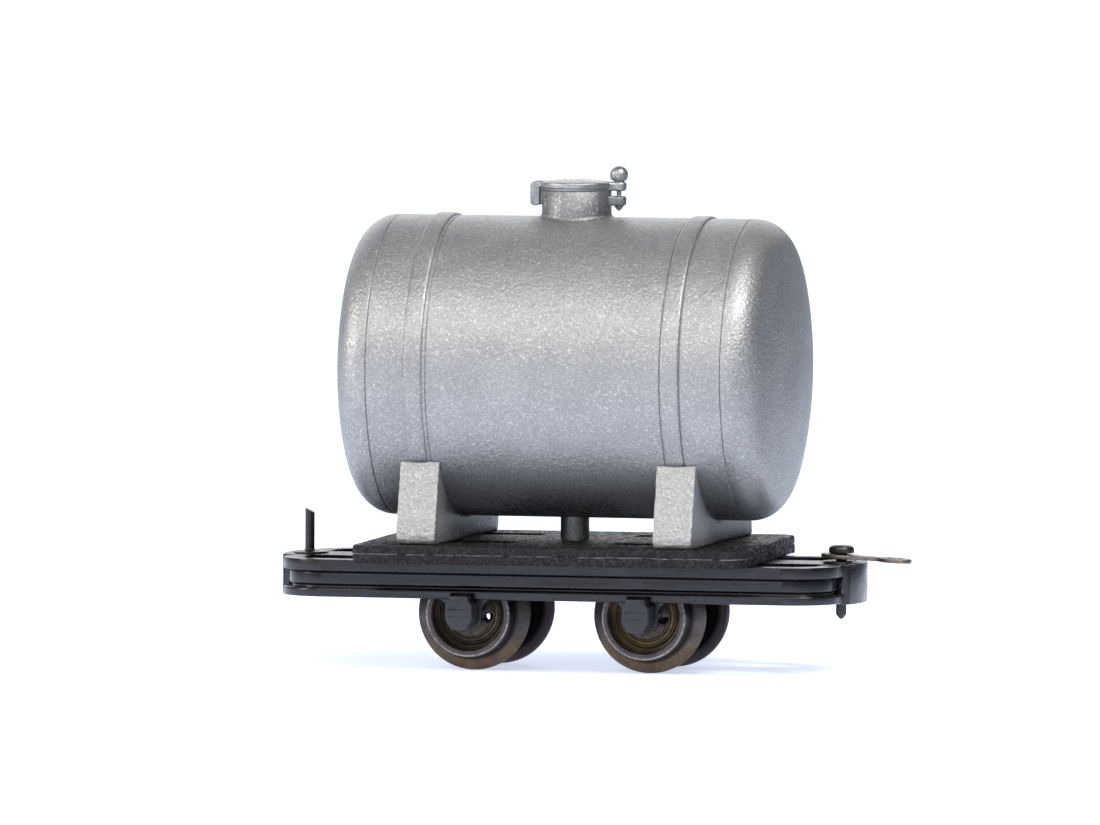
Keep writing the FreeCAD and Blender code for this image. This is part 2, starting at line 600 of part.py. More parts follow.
def hinge_strap():
    """A flat strap over the edge of the lid, bent down beside the neck."""
    inner_x = -1.0
    outer_x = STRAP_OUT_X
    leg_x = STRAP_LEG_X
    foot_z = STRAP_FOOT_Z
    top_z = LID_EDGE_Z + 0.03
    bend_r = 0.20
    foot_r = 0.14
    corner = 1 - cos(radians(45))

    def at(x, z):
        return Vector(x, -STRAP_HALF_Y, z)

    return outline([
        line(at(inner_x, top_z), at(outer_x + bend_r, top_z)),
        arc(at(outer_x + bend_r, top_z), at(outer_x + bend_r * corner, top_z - bend_r * corner),
            at(outer_x, top_z - bend_r)),
        line(at(outer_x, top_z - bend_r), at(outer_x, foot_z + foot_r)),
        arc(at(outer_x, foot_z + foot_r), at(outer_x + foot_r * corner, foot_z + foot_r * corner),
            at(outer_x + foot_r, foot_z)),
        line(at(outer_x + foot_r, foot_z), at(leg_x, foot_z)),
        line(at(leg_x, foot_z), at(leg_x, LID_LIP_TOP_Z)),
        line(at(leg_x, LID_LIP_TOP_Z), at(inner_x, LID_LIP_TOP_Z)),
        line(at(inner_x, LID_LIP_TOP_Z), at(inner_x, top_z)),
    ], Vector(0, 2 * STRAP_HALF_Y, 0))


def hatch_lid():
    """The crowned lid with its lip, the strap down to the hinge, and the upper clamp lug."""
    crown_h = LID_CROWN_Z - LID_EDGE_Z
    crown_r = (LID_R ** 2 + crown_h ** 2) / (2 * crown_h)
    lid = rod(LID_R, Vector(0, 0, LID_LIP_TOP_Z), Vector(0, 0, LID_CROWN_Z + 0.1))
    lid = lid.common(Part.makeSphere(crown_r, Vector(0, 0, LID_CROWN_Z - crown_r)))
    lid = lid.makeFillet(0.08, edges_at(lid, lambda m: abs(m.z - LID_EDGE_Z) < 0.02))
    lip = rod(LID_R - 0.10, Vector(0, 0, NECK_TOP_Z), Vector(0, 0, LID_LIP_TOP_Z + 0.05))
    foot = box(STRAP_LEG_X - 0.1, -NECK_R - 0.02, -0.25, 0.25, STRAP_FOOT_Z + 0.05, STRAP_FOOT_Z + 0.45)
    lug = clamp_lug(NECK_TOP_Z + 0.01, UPPER_LUG_TOP_Z, LID_R - 0.5)
    body = lid.fuse([lip, hinge_strap(), foot, lug]).removeSplitter()
    return body.cut(rod(BOLT_R, Vector(BOLT_X, 0, 0), Vector(BOLT_X, 0, BEYOND)))


def hatch_bolt():
    """The clamp bolt through both lugs, with a pointed nut under the lower one."""
    nut_top = LOWER_LUG_BOTTOM_Z
    profile = [(nut_top - 0.27, 0), (nut_top - 0.20, 0.10), (nut_top, 0.24), (nut_top, BOLT_R),
               (BOLT_TOP_Z, BOLT_R), (BOLT_TOP_Z, 0)]
    bolt = revolved(profile, Z_AXIS)
    bolt.translate(Vector(BOLT_X, 0, 0))
    return bolt


def hatch_knob():
    """The ball nut on top of the clamp bolt."""
    ball = Part.makeSphere(KNOB_R, Vector(BOLT_X, 0, KNOB_Z))
    seat = Vector(BOLT_X, 0, UPPER_LUG_TOP_Z)
    foot = rod(KNOB_FOOT_R, seat, seat + Vector(0, 0, 0.05))
    below = box(BOLT_X - 1, BOLT_X + 1, -1, 1, 0, UPPER_LUG_TOP_Z)
    ball = ball.cut(below).fuse(foot).removeSplitter()
    return ball.cut(rod(BOLT_R, Vector(BOLT_X, 0, 0), Vector(BOLT_X, 0, BOLT_TOP_Z)))


# ---------------------------------------------------------------- coupling
def pin_with_head_up():
    """The pin that holds the link: it drops into the boss and its head stops on the link."""
    profile = [(PIN_TIP_Z, 0), (PIN_TIP_Z, 0.08), (PIN_TIP_Z + 0.22, LINK_PIN_R),
               (PIN_HEAD_BOTTOM_Z, LINK_PIN_R),
               (PIN_HEAD_BOTTOM_Z, PIN_HEAD_R), (PIN_HEAD_TOP_Z - 0.12, PIN_HEAD_R),
               (PIN_HEAD_TOP_Z, PIN_HEAD_R - 0.14), (PIN_HEAD_TOP_Z, 0)]
    pin = revolved(profile, Z_AXIS)
    pin.translate(Vector(PIN_X, 0, 0))
    return pin


def pin_with_shank_up():
    """A pin pressed in from below: its cut shank takes the next wagon's link."""
    head_z = PAD_BOTTOM_Z + 0.08
    profile = [(head_z, 0), (head_z, PIN_HEAD_R - 0.10), (head_z + 0.10, PIN_HEAD_R),
               (PIN_RECESS_TOP_Z, PIN_HEAD_R), (PIN_RECESS_TOP_Z, PRESS_R),
               (BOSS_TOP_Z, PRESS_R), (SHANK_BOTTOM_Z, PIN_R),
               (UPRIGHT_PIN_TOP_Z, PIN_R), (UPRIGHT_PIN_TOP_Z, 0)]
    pin = revolved(profile, Z_AXIS)
    cut = box(-1, 1, -1, 1, 0, 1)
    cut.rotate(Vector(0, 0, 0), Y_AXIS, UPRIGHT_PIN_CUT)
    cut.translate(Vector(0, 0, UPRIGHT_PIN_TOP_Z - 0.28))
    pin = pin.cut(cut)
    pin.translate(Vector(-PIN_X, 0, 0))
    return pin


def coupling_link():
    """A flat link with an eye round the pin and a ring for the next wagon's pin."""
    z0 = -LINK_T / 2
    up = Vector(0, 0, LINK_T)
    eye = rod(LINK_EYE_R, Vector(0, 0, z0), Vector(0, 0, z0) + up)
    ring_at = Vector(LINK_REACH, 0, z0)
    ring = rod(LINK_RING_R, ring_at, ring_at + up)
    waist = box(0, LINK_REACH, -LINK_WAIST_HALF, LINK_WAIST_HALF, z0, -z0)
    body = eye.fuse([ring, waist]).removeSplitter()
    corners = edges_at(body, lambda m: 0.5 < m.x < 2.5 and abs(m.z) < 0.01
                       and abs(abs(m.y) - LINK_WAIST_HALF) < 0.05)
    body = body.makeFillet(LINK_WAIST_FILLET_R, corners)
    rims = edges_at(body, lambda m: abs(abs(m.z) + z0) < 1e-6)
    body = body.makeFillet(0.035, rims)
    body = body.cut(rod(LINK_PIN_R + 0.08, Vector(0, 0, -1), Vector(0, 0, 1)))
    body = body.cut(rod(LINK_RING_HOLE_R, Vector(LINK_REACH, 0, -1), Vector(LINK_REACH, 0, 1)))
    body.rotate(Vector(0, 0, 0), Y_AXIS, LINK_DROOP)
    body.translate(Vector(PIN_X, 0, LINK_Z))
    return body


# ---------------------------------------------------------------- all sub-parts
def main():
    os.makedirs("parts", exist_ok=True)
    save("frame_moulding", frame_moulding())
    save("ballast_bar", ballast_bar())
    save("deck_lower", deck_board(BEAM_TOP_Z, DECK_JOINT_Z, LOWER_SLOTS_Y, False))
    save("deck_upper", deck_board(DECK_JOINT_Z, DECK_TOP_Z, UPPER_SLOTS_Y, True))
    save("tank_screws", tank_screws())
    save("tank_barrel", tank_barrel())
    save("outlet_pipe", outlet_pipe())
    for end, sx in (("a", -1), ("b", 1)):
        save("tank_end_" + end, tank_end(sx))
        save("tank_saddle_" + end, saddle(sx * SADDLE_X))
        save("tank_band_" + end, tank_band(sx * SADDLE_X + BAND_OFFSET))
        axle_x = sx * AXLE_X
        save("axle_" + end, axle(axle_x))
        save("insulating_bush_" + end, insulating_bush(axle_x, 1))
        near_hole, far_hole = WEB_HOLE_ANGLES[end]
        save("wheel_near_" + end, placed_wheel(axle_x, -1, SEAT_R, near_hole))
        save("wheel_far_" + end, placed_wheel(axle_x, 1, BUSH_R, far_hole))
        save("axle_box_near_" + end, axle_box(axle_x, -1))
        save("axle_box_far_" + end, axle_box(axle_x, 1))
    save("hatch_neck", hatch_neck())
    save("hatch_lid", hatch_lid())
    save("hatch_bolt", hatch_bolt())
    save("hatch_knob", hatch_knob())
    save("coupling_pin_a", pin_with_shank_up())
    save("coupling_pin_b", pin_with_head_up())
    save("coupling_link", coupling_link())


main()
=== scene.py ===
"""Looks of the model tank wagon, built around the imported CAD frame.

Meshes are drawn in millimetres and scaled to metres when they are finished.
X runs along the track, +X towards the coupling link, and Z is up from the rail tops.
"""
import bpy
import bmesh
from math import acos, asin, cos, degrees, pi, radians, sin, sqrt, tau
from mathutils import Matrix, Vector, noise


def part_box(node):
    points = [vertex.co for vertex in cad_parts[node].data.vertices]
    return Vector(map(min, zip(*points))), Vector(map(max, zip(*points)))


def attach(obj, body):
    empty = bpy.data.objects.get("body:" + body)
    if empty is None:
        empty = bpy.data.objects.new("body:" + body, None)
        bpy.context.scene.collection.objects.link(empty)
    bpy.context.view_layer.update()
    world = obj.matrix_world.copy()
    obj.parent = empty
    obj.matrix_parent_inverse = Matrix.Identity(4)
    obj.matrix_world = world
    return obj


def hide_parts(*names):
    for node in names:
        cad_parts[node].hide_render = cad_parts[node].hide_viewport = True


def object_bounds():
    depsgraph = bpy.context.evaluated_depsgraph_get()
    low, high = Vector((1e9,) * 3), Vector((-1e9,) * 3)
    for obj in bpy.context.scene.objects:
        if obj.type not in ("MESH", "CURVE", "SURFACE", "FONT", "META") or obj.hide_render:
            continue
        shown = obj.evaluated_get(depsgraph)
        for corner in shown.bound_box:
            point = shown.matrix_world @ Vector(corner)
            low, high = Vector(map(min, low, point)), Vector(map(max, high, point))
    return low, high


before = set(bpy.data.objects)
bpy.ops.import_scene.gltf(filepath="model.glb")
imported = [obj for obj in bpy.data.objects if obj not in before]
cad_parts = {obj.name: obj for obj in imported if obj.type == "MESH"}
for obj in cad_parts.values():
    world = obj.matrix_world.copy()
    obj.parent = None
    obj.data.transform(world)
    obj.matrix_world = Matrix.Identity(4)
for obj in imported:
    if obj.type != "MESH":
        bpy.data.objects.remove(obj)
cad_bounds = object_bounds()

MM = 0.001
TURN_STEPS = 192            # facets round the tank
SMALL_STEPS = 96            # facets round smaller turned pieces


# -------- places read from the frame
def box_mm(node):
    """Lowest and highest corner of a CAD node, in millimetres."""
    low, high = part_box(node)
    return low / MM, high / MM


BARREL_LOW, BARREL_HIGH = box_mm("tank_barrel")
TANK_Z = (BARREL_LOW.z + BARREL_HIGH.z) / 2
TANK_R = (BARREL_HIGH.z - BARREL_LOW.z) / 2
SEAM_X = BARREL_HIGH.x
FRAME_HIGH = box_mm("frame_moulding")[1]
BOARDS_MEET_Z = box_mm("deck_upper")[0].z
AXLE_LOW, AXLE_HIGH = box_mm("axle_b")
AXLE_X = (AXLE_LOW.x + AXLE_HIGH.x) / 2
TREAD_R = (AXLE_LOW.z + AXLE_HIGH.z) / 2
PIN_LOW, PIN_HIGH = box_mm("coupling_pin_b")
PIN_X = (PIN_LOW.x + PIN_HIGH.x) / 2
PIN_HEAD_R = (PIN_HIGH.x - PIN_LOW.x) / 2
BOLT_LOW, BOLT_HIGH = box_mm("hatch_bolt")
BOLT_X = (BOLT_LOW.x + BOLT_HIGH.x) / 2


# -------- mesh tools
def link_object(name, data):
    obj = bpy.data.objects.new(name, data)
    bpy.context.collection.objects.link(obj)
    return obj


def object_from(name, bm):
    """A new object, still in millimetres, from a closed bmesh."""
    bmesh.ops.recalc_face_normals(bm, faces=bm.faces)
    mesh = bpy.data.meshes.new(name)
    bm.to_mesh(mesh)
    bm.free()
    return link_object(name, mesh)


def settle(obj):
    """Replace an object's mesh with what its modifiers make of it."""
    graph = bpy.context.evaluated_depsgraph_get()
    mesh = bpy.data.meshes.new_from_object(obj.evaluated_get(graph))
    old = obj.data
    obj.modifiers.clear()
    obj.data = mesh
    bpy.data.meshes.remove(old)
    return obj


def combine(obj, others, operation):
    """Add or cut away other solids, which are used up."""
    for other in others:
        step = obj.modifiers.new("combine", "BOOLEAN")
        step.operation = operation
        step.solver = "EXACT"
        step.object = other
        settle(obj)
        bpy.data.objects.remove(other)
    return obj


def add(obj, *others):
    return combine(obj, others, "UNION")


def cut(obj, *others):
    return combine(obj, others, "DIFFERENCE")


def soften(obj, width, angle=30, segments=2):
    """Round an object's sharp edges."""
    step = obj.modifiers.new("soften", "BEVEL")
    step.width = width
    step.segments = segments
    step.limit_method = "ANGLE"
    step.angle_limit = radians(angle)
    step.use_clamp_overlap = True
    return settle(obj)


def rounded(points, corner, closed=True, segments=3):
    """Round the corners of an outline of 2-D points."""
    if corner <= 0:
        return list(points)
    count = len(points)
    result = []
    for i, point in enumerate(points):
        if not closed and i in (0, count - 1):
            result.append(point)
            continue
        here = Vector(point)
        before = Vector(points[i - 1]) - here
        after = Vector(points[(i + 1) % count]) - here
        if before.angle(-after, 0) < radians(12):        # nearly straight
            result.append(point)
            continue
        start = here + before.normalized() * min(corner, before.length * 0.45)
        end = here + after.normalized() * min(corner, after.length * 0.45)
        for k in range(segments + 1):
            t = k / segments
            at = start * (1 - t) ** 2 + here * 2 * t * (1 - t) + end * t ** 2
            result.append(tuple(at))
    return result


def arc_points(cx, cy, radius, start, end, steps):
    """Points along a circular arc, angles in degrees."""
    angles = [radians(start + (end - start) * k / steps) for k in range(steps + 1)]
    return [(cx + radius * cos(a), cy + radius * sin(a)) for a in angles]


def turned(name, profile, place, steps=SMALL_STEPS, corner=0.03, sector=None):
    """Turn a profile of (height, radius) points about local Z. A profile that starts and ends on
    the axis makes a solid, any other is a closed loop. sector gives the start and end angle."""
    on_axis = profile[0][1] < 1e-6 and profile[-1][1] < 1e-6
    points = rounded(profile, corner, closed=not on_axis)
    full = sector is None
    start, end = sector or (0, 360)
    count = steps if full else steps + 1
    angles = [radians(start + (end - start) * k / steps) for k in range(count)]
    bm = bmesh.new()
    rings = []
    for height, radius in points:
        if radius < 1e-6:
            ring = [Vector((0, 0, height))]
        else:
            ring = [Vector((radius * cos(a), radius * sin(a), height)) for a in angles]
        rings.append([bm.verts.new(place @ point) for point in ring])
    pairs = list(zip(rings, rings[1:]))
    if not on_axis:
        pairs.append((rings[-1], rings[0]))
    for one, two in pairs:
        for k in range(steps):
            k2 = (k + 1) % count
            corners = [one[k % len(one)], one[k2 % len(one)], two[k2 % len(two)], two[k % len(two)]]
            bm.faces.new(list(dict.fromkeys(corners)))
    if not full:
        bm.faces.new([ring[0] for ring in rings])
        bm.faces.new([ring[-1] for ring in reversed(rings)])
    return object_from(name, bm)


def plate(name, outline, low, high, place=Matrix.Identity(4)):
    """Extrude a 2-D outline along local Z."""
    bm = bmesh.new()
    bottom, top = [[bm.verts.new(place @ Vector((x, y, z))) for x, y in outline] for z in (low, high)]
    bm.faces.new(bottom)
    bm.faces.new(top)
    count = len(outline)
    for k in range(count):
        k2 = (k + 1) % count
        bm.faces.new((bottom[k], bottom[k2], top[k2], top[k]))
    return object_from(name, bm)


def block(name, low, high):
    """A block between two corners, as a start for further shaping."""
    outline = [(low[0], low[1]), (high[0], low[1]), (high[0], high[1]), (low[0], high[1])]
    return plate(name, outline, low[2], high[2])


def lofted(name, loops, closed=False):
    """Skin a row of loops that have the same number of points each. An open row is capped."""
    bm = bmesh.new()
    rows = [[bm.verts.new(point) for point in loop] for loop in loops]
    pairs = list(zip(rows, rows[1:]))
    if closed:
        pairs.append((rows[-1], rows[0]))
    count = len(rows[0])
    for one, two in pairs:
        for k in range(count):
            k2 = (k + 1) % count
            bm.faces.new((one[k], one[k2], two[k2], two[k]))
    if not closed:
        bm.faces.new(rows[0])
        bm.faces.new(rows[-1])
    return object_from(name, bm)


def rounded_rectangle(half_x, half_y, radius, z, steps):
    """A level loop with rounded corners."""
    loop = []
    for sx, sy, start in ((1, 1, 0), (-1, 1, 90), (-1, -1, 180), (1, -1, 270)):
        loop += arc_points(sx * (half_x - radius), sy * (half_y - radius), radius,
                           start, start + 90, steps)
    return [Vector((x, y, z)) for x, y in loop]


def roughen(obj, depth, scale, test=None):
    """Push vertices in and out by smooth noise, where a test of their place allows."""
    moved = [(v, v.co + v.normal * noise.fractal(v.co * scale, 0.6, 2.0, 3) * depth)
             for v in obj.data.vertices if not test or test(v.co)]
    for vertex, place in moved:
        vertex.co = place


# these lay a turned piece's axis, or a plate's outline, along the named axis or in its plane
ALONG_X = Matrix(((0, 0, 1, 0), (0, 1, 0, 0), (-1, 0, 0, 0), (0, 0, 0, 1)))
ALONG_Y = Matrix(((1, 0, 0, 0), (0, 0, 1, 0), (0, -1, 0, 0), (0, 0, 0, 1)))
PROFILE_ON_Y = Matrix(((1, 0, 0, 0), (0, 0, 1, 0), (0, 1, 0, 0), (0, 0, 0, 1)))


def at_mm(x, y, z):
    return Matrix.Translation((x, y, z))


def half_turn(side):
    """Nothing on the + side, and half a turn about Z on the - side."""
    return Matrix.Identity(4) if side > 0 else Matrix.Rotation(pi, 4, "Z")


def span(side, near, far):
    """A stretch on one side of the middle, its lower end first."""
    return sorted((side * near, side * far))


def drill(name, radius, start, end, place, steps):
    """A plain cylinder for boring a hole."""
    return turned(name, [(start, 0), (start, radius), (end, radius), (end, 0)], place, steps, corner=0)


def deliver(obj, body, nodes, material):
    """Finish a piece: metres, smooth shading, its body, the nodes it stands for, its material."""
    obj.data.transform(Matrix.Scale(MM, 4))
    obj.data.polygons.foreach_set("use_smooth", [True] * len(obj.data.polygons))
    normals = obj.modifiers.new("normals", "WEIGHTED_NORMAL")
    normals.keep_sharp = False
    normals.weight = 80
    if not obj.data.materials:
        obj.data.materials.append(material)
    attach(obj, body)
    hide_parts(*nodes)
    return obj


# -------- material tools
class Finish:
    """Builds one procedural material. Texture scales are in features per millimetre."""

    def __init__(self, name, metallic, specular=0.5):
        self.material = bpy.data.materials.new(name)
        self.material.use_nodes = True
        self.tree = self.material.node_tree
        self.surface = self.tree.nodes["Principled BSDF"]
        self.feed(self.surface, **{"Metallic": metallic, "Specular IOR Level": specular})
        where = self.node("ShaderNodeTexCoord").outputs["Object"]
        self.place = self.vector("SCALE", where, scale=1 / MM)
        self.z = self.split(self.place, "Z")

    def node(self, kind, **settings):
        made = self.tree.nodes.new(kind)
        for key, value in settings.items():
            setattr(made, key, value)
        return made

    def put(self, socket, value):
        if isinstance(value, bpy.types.NodeSocket):
            self.tree.links.new(value, socket)
        elif isinstance(value, (tuple, list)) and len(value) == 3 and len(socket.default_value) == 4:
            socket.default_value = (*value, 1)
        else:
            socket.default_value = value

    def feed(self, made, **values):
        for name, value in values.items():
            self.put(made.inputs[name], value)

    def vector(self, operation, a, b=None, scale=None):
        made = self.node("ShaderNodeVectorMath", operation=operation)
        self.put(made.inputs[0], a)
        if b is not None:
            self.put(made.inputs[1], b)
        if scale is not None:
            self.feed(made, Scale=scale)
        return made.outputs["Value" if operation == "LENGTH" else "Vector"]

    def split(self, vector, axis):
        made = self.node("ShaderNodeSeparateXYZ")
        self.put(made.inputs[0], vector)
        return made.outputs[axis]

    def math(self, operation, a, b=0.0):
        made = self.node("ShaderNodeMath", operation=operation)
        self.put(made.inputs[0], a)
        self.put(made.inputs[1], b)
        return made.outputs[0]

    def times(self, a, b):
        return self.math("MULTIPLY", a, b)

    def noise(self, scale, detail=3.0, rough=0.5, stretch=None, at=None):
        place = at if at is not None else self.place
        if stretch:
            place = self.vector("MULTIPLY", place, stretch)
        made = self.node("ShaderNodeTexNoise")
        self.feed(made, Vector=place, Scale=scale, Detail=detail, Roughness=rough)
        return made.outputs["Fac"]

    def grains(self, scale):
        """A random grey for each tiny cell, as metal flakes and casting grain have."""
        made = self.node("ShaderNodeTexVoronoi")
        self.feed(made, Vector=self.place, Scale=scale)
        return self.split(made.outputs["Color"], "X")

    def spread(self, value, low, high, out_low=0.0, out_high=1.0):
        """Map a range of a value onto another, clamped."""
        made = self.node("ShaderNodeMapRange")
        self.feed(made, **{"Value": value, "From Min": low, "From Max": high,
                           "To Min": out_low, "To Max": out_high})
        return made.outputs["Result"]

    def blend(self, factor, one, two):
        made = self.node("ShaderNodeMix", data_type="RGBA")
        self.put(made.inputs["Factor"], factor)
        self.put(made.inputs[6], one)
        self.put(made.inputs[7], two)
        return made.outputs[2]

    def relief(self, *layers):
        """Bump from (height, depth in millimetres) layers, laid one on another."""
        normal = None
        for height, depth in layers:
            made = self.node("ShaderNodeBump")
            self.feed(made, Distance=depth * MM, Height=height)
            if normal is not None:
                self.feed(made, Normal=normal)
            normal = made.outputs["Normal"]
        self.feed(self.surface, Normal=normal)

    def done(self, color, roughness):
        self.feed(self.surface, **{"Base Color": color, "Roughness": roughness})
        return self.material


# -------- materials
def silver_paint(name, light, dark, grain, roughness=0.40, metallic=0.88, underside=False):
    """Sprayed aluminium paint: fine flakes, an uneven film, small nibs of dust. With underside set,
    it is painted darker and bluish in patches low down in the middle of the tank, as painted shade."""
    f = Finish(name, metallic=metallic)
    flakes = f.grains(14)
    sparkle = f.spread(f.grains(9), 0.90, 1.0)
    film = f.noise(0.45, detail=4)
    peel = f.noise(6.0, detail=2, rough=0.55)
    speckle = f.noise(8.0, detail=2, rough=0.7)
    color = f.blend(f.spread(film, 0.35, 0.65), dark, light)
    color = f.blend(f.spread(flakes, 0.0, 1.0, 0.0, 0.36), color, (0.12, 0.123, 0.130))
    color = f.blend(f.spread(speckle, 0.54, 0.70, 0.0, 0.42), color, (0.70, 0.70, 0.69))
    rough = f.math("SUBTRACT", f.spread(peel, 0.3, 0.7, roughness + 0.07, roughness - 0.05),
                   f.times(sparkle, 0.16))
    if underside:
        # painted shade: low down in the middle of the tank the paint is made darker and bluish in patches
        low = f.spread(f.z, TANK_Z - TANK_R * 0.76, TANK_Z - TANK_R * 0.93)
        middle = f.spread(f.math("ABSOLUTE", f.split(f.place, "X")), 3.0, 5.0, 1.0, 0.30)
        thin = f.spread(f.noise(4.2, detail=5, rough=0.75), 0.47, 0.56, 0.0, 0.85)
        painted_underside_shade = f.times(f.times(low, middle), thin)
        color = f.blend(painted_underside_shade, color, (0.060, 0.064, 0.074))
    f.relief((film, 0.030), (peel, 0.036 * grain), (speckle, 0.014 * grain), (flakes, 0.0060 * grain))
    return f.done(color, rough)


def cast_silver(name):
    """Silver over a rough, grainy casting, for the saddles."""
    f = Finish(name, metallic=0.60)
    lumps = f.noise(4.6, detail=3, rough=0.6)
    grain = f.noise(8.0, detail=2, rough=0.6)
    color = f.blend(f.spread(grain, 0.34, 0.66), (0.250, 0.253, 0.258), (0.350, 0.350, 0.342))
    color = f.blend(f.spread(grain, 0.60, 0.70, 0.0, 0.22), color, (0.62, 0.62, 0.60))
    pits = f.spread(f.noise(9.0, detail=2), 0.64, 0.72)
    color = f.blend(f.times(pits, 0.35), color, (0.14, 0.15, 0.17))
    f.relief((lumps, 0.080), (grain, 0.034))
    return f.done(color, f.spread(lumps, 0.3, 0.7, 0.48, 0.38))


def black_plastic(name, base, sheen_color, roughness):
    """Moulded black plastic: satin, faintly streaked, with dust and rubbed patches."""
    f = Finish(name, metallic=0.0, specular=0.5)
    streaks = f.noise(1.1, detail=4, stretch=(0.35, 1.0, 2.4))
    dust = f.spread(f.noise(7.0, detail=2, rough=0.7), 0.66, 0.76)
    rubbed = f.spread(f.noise(0.7, detail=5, rough=0.6), 0.48, 0.70)
    color = f.blend(f.spread(streaks, 0.3, 0.7), base, sheen_color)
    color = f.blend(f.times(dust, 0.30), color, (0.12, 0.12, 0.125))
    rough = f.math("SUBTRACT", f.spread(streaks, 0.3, 0.7, roughness + 0.07, roughness - 0.05),
                   f.times(rubbed, 0.08))
    f.relief((streaks, 0.006), (f.noise(9.0, detail=3), 0.0025))
    return f.done(color, rough)


def deck_material(name):
    """Black fibre board: a gritty surface, and a broken pale line of fibres where the boards meet."""
    f = Finish(name, metallic=0.0, specular=0.18)
    felt = f.noise(7.0, detail=4, rough=0.7)
    grit = f.grains(10)
    fibres = f.noise(4.0, detail=4, rough=0.65, stretch=(0.6, 2.0, 2.4))
    color = f.blend(f.spread(felt, 0.35, 0.72), (0.0025, 0.002, 0.0026), (0.013, 0.0115, 0.014))
    lint = f.spread(f.noise(9.0, detail=2, rough=0.8), 0.67, 0.75)
    color = f.blend(f.times(lint, 0.40), color, (0.16, 0.16, 0.17))
    wander = f.times(f.math("SUBTRACT", f.noise(1.1, detail=2), 0.5), 0.05)
    height = f.math("ADD", f.math("SUBTRACT", f.z, BOARDS_MEET_Z), wander)
    near = f.spread(f.math("ABSOLUTE", height), 0.014, 0.034, 1, 0)
    dashes = f.spread(f.noise(1.6, detail=4, rough=0.75, stretch=(1.0, 1.0, 0.1)), 0.42, 0.50)
    color = f.blend(f.times(near, dashes), color, (0.27, 0.27, 0.28))
    lay = f.noise(3.0, detail=4, rough=0.7, stretch=(2.2, 0.45, 2.2))
    color = f.blend(f.spread(lay, 0.50, 0.64, 0.0, 0.8), color, (0.030, 0.031, 0.036))
    f.relief((felt, 0.050), (grit, 0.014), (fibres, 0.024), (lay, 0.050))
    return f.done(color, f.spread(lay, 0.40, 0.60, 0.74, 0.36))


def turned_metal(name, center_x, center_z, gold_amount):
    """Dark turned metal: rings about the axle, brown stain in the hollow, a rubbed rim, and painted shade
    on the tread, the backs of the wheels and round the hub.
    """
    f = Finish(name, metallic=0.90)
    flat = f.vector("MULTIPLY", f.vector("SUBTRACT", f.place, (center_x, 0, center_z)), (1, 0, 1))
    radius = f.vector("LENGTH", flat)
    outward = f.math("ABSOLUTE", f.split(f.place, "Y"))
    along = f.node("ShaderNodeCombineXYZ")
    f.put(along.inputs[0], radius)
    rings = f.noise(14.0, detail=2, rough=0.7, at=along.outputs[0])
    stain = f.noise(0.9, detail=5, rough=0.62)
    patches = f.noise(3.4, detail=4, rough=0.6)
    worn = f.noise(6.0, detail=3, rough=0.7)
    color = f.blend(f.spread(stain, 0.40, 0.62), (0.050, 0.042, 0.041), (0.090, 0.077, 0.075))
    # the hollow side of the web is brown, with a golden bloom
    hollow = f.spread(radius, 1.76, 1.84, 1, 0)
    brown = f.blend(f.spread(patches, 0.38, 0.64), (0.052, 0.043, 0.037), (0.098, 0.080, 0.065))
    bloom = f.times(f.spread(radius, 1.15, 1.30), f.spread(stain, 0.42, 0.60, 0.35, 1.0))
    brown = f.blend(f.times(bloom, gold_amount), brown, (0.250, 0.178, 0.074))
    # painted shadow of the axle box: the web is painted darker towards the hub
    middle = f.spread(radius, 0.75, 1.15, 0.75, 0.0)
    brown = f.blend(middle, brown, (0.025, 0.022, 0.021))
    color = f.blend(hollow, color, brown)
    # gold and rust stain low down, where the flange meets the rail
    gold = f.times(f.spread(f.z, center_z - 0.9, center_z - 1.9),
                  f.spread(patches, 0.36, 0.66, 0.25, 1.0))
    flange = f.spread(radius, 2.2, 2.3, 0.0, 0.75)
    color = f.blend(f.times(gold, flange), color, (0.165, 0.102, 0.042))
    # the rim's face is rubbed bright at its edge; the tread and the backs of the wheels are painted nearly
    # black, as painted shade
    face = f.times(f.spread(radius, 1.84, 1.90), f.spread(radius, 2.16, 2.19, 1, 0))
    color = f.blend(f.times(face, f.spread(worn, 0.35, 0.65, 0.05, 0.60)), color,
                    (0.105, 0.091, 0.087))
    edge = f.times(f.spread(radius, 2.06, 2.10), f.spread(radius, 2.15, 2.18, 1, 0))
    color = f.blend(f.times(edge, f.spread(worn, 0.36, 0.60, 0.10, 0.90)), color,
                    (0.36, 0.33, 0.31))
    # painted shade: the tread and its fillet into the flange are painted nearly black
    tread = f.times(f.spread(radius, 2.165, 2.185), f.spread(radius, 2.30, 2.44, 1, 0))
    color = f.blend(f.times(tread, 0.88), color, (0.012, 0.010, 0.009))
    # painted shade: the backs of the wheels and the hollow behind the web, between the wheels, are painted
    # dark
    back_face_shade = f.spread(outward, 2.64, 2.68, 1, 0)
    back_recess_shade = f.times(f.spread(outward, 2.95, 3.00, 1, 0),
                    f.spread(radius, 1.95, 2.00, 1, 0))
    back = f.blend(f.spread(radius, 2.30, 2.55), (0.006, 0.005, 0.006), (0.075, 0.060, 0.064))
    color = f.blend(f.math("MAXIMUM", back_face_shade, back_recess_shade), color, back)
    groove = f.spread(rings, 0.35, 0.5, 0.40, 0.0)
    color = f.blend(f.times(groove, hollow), color, (0.04, 0.03, 0.024))
    f.relief((rings, 0.014), (patches, 0.012), (worn, 0.006))
    return f.done(color, f.spread(patches, 0.3, 0.7, 0.42, 0.28))


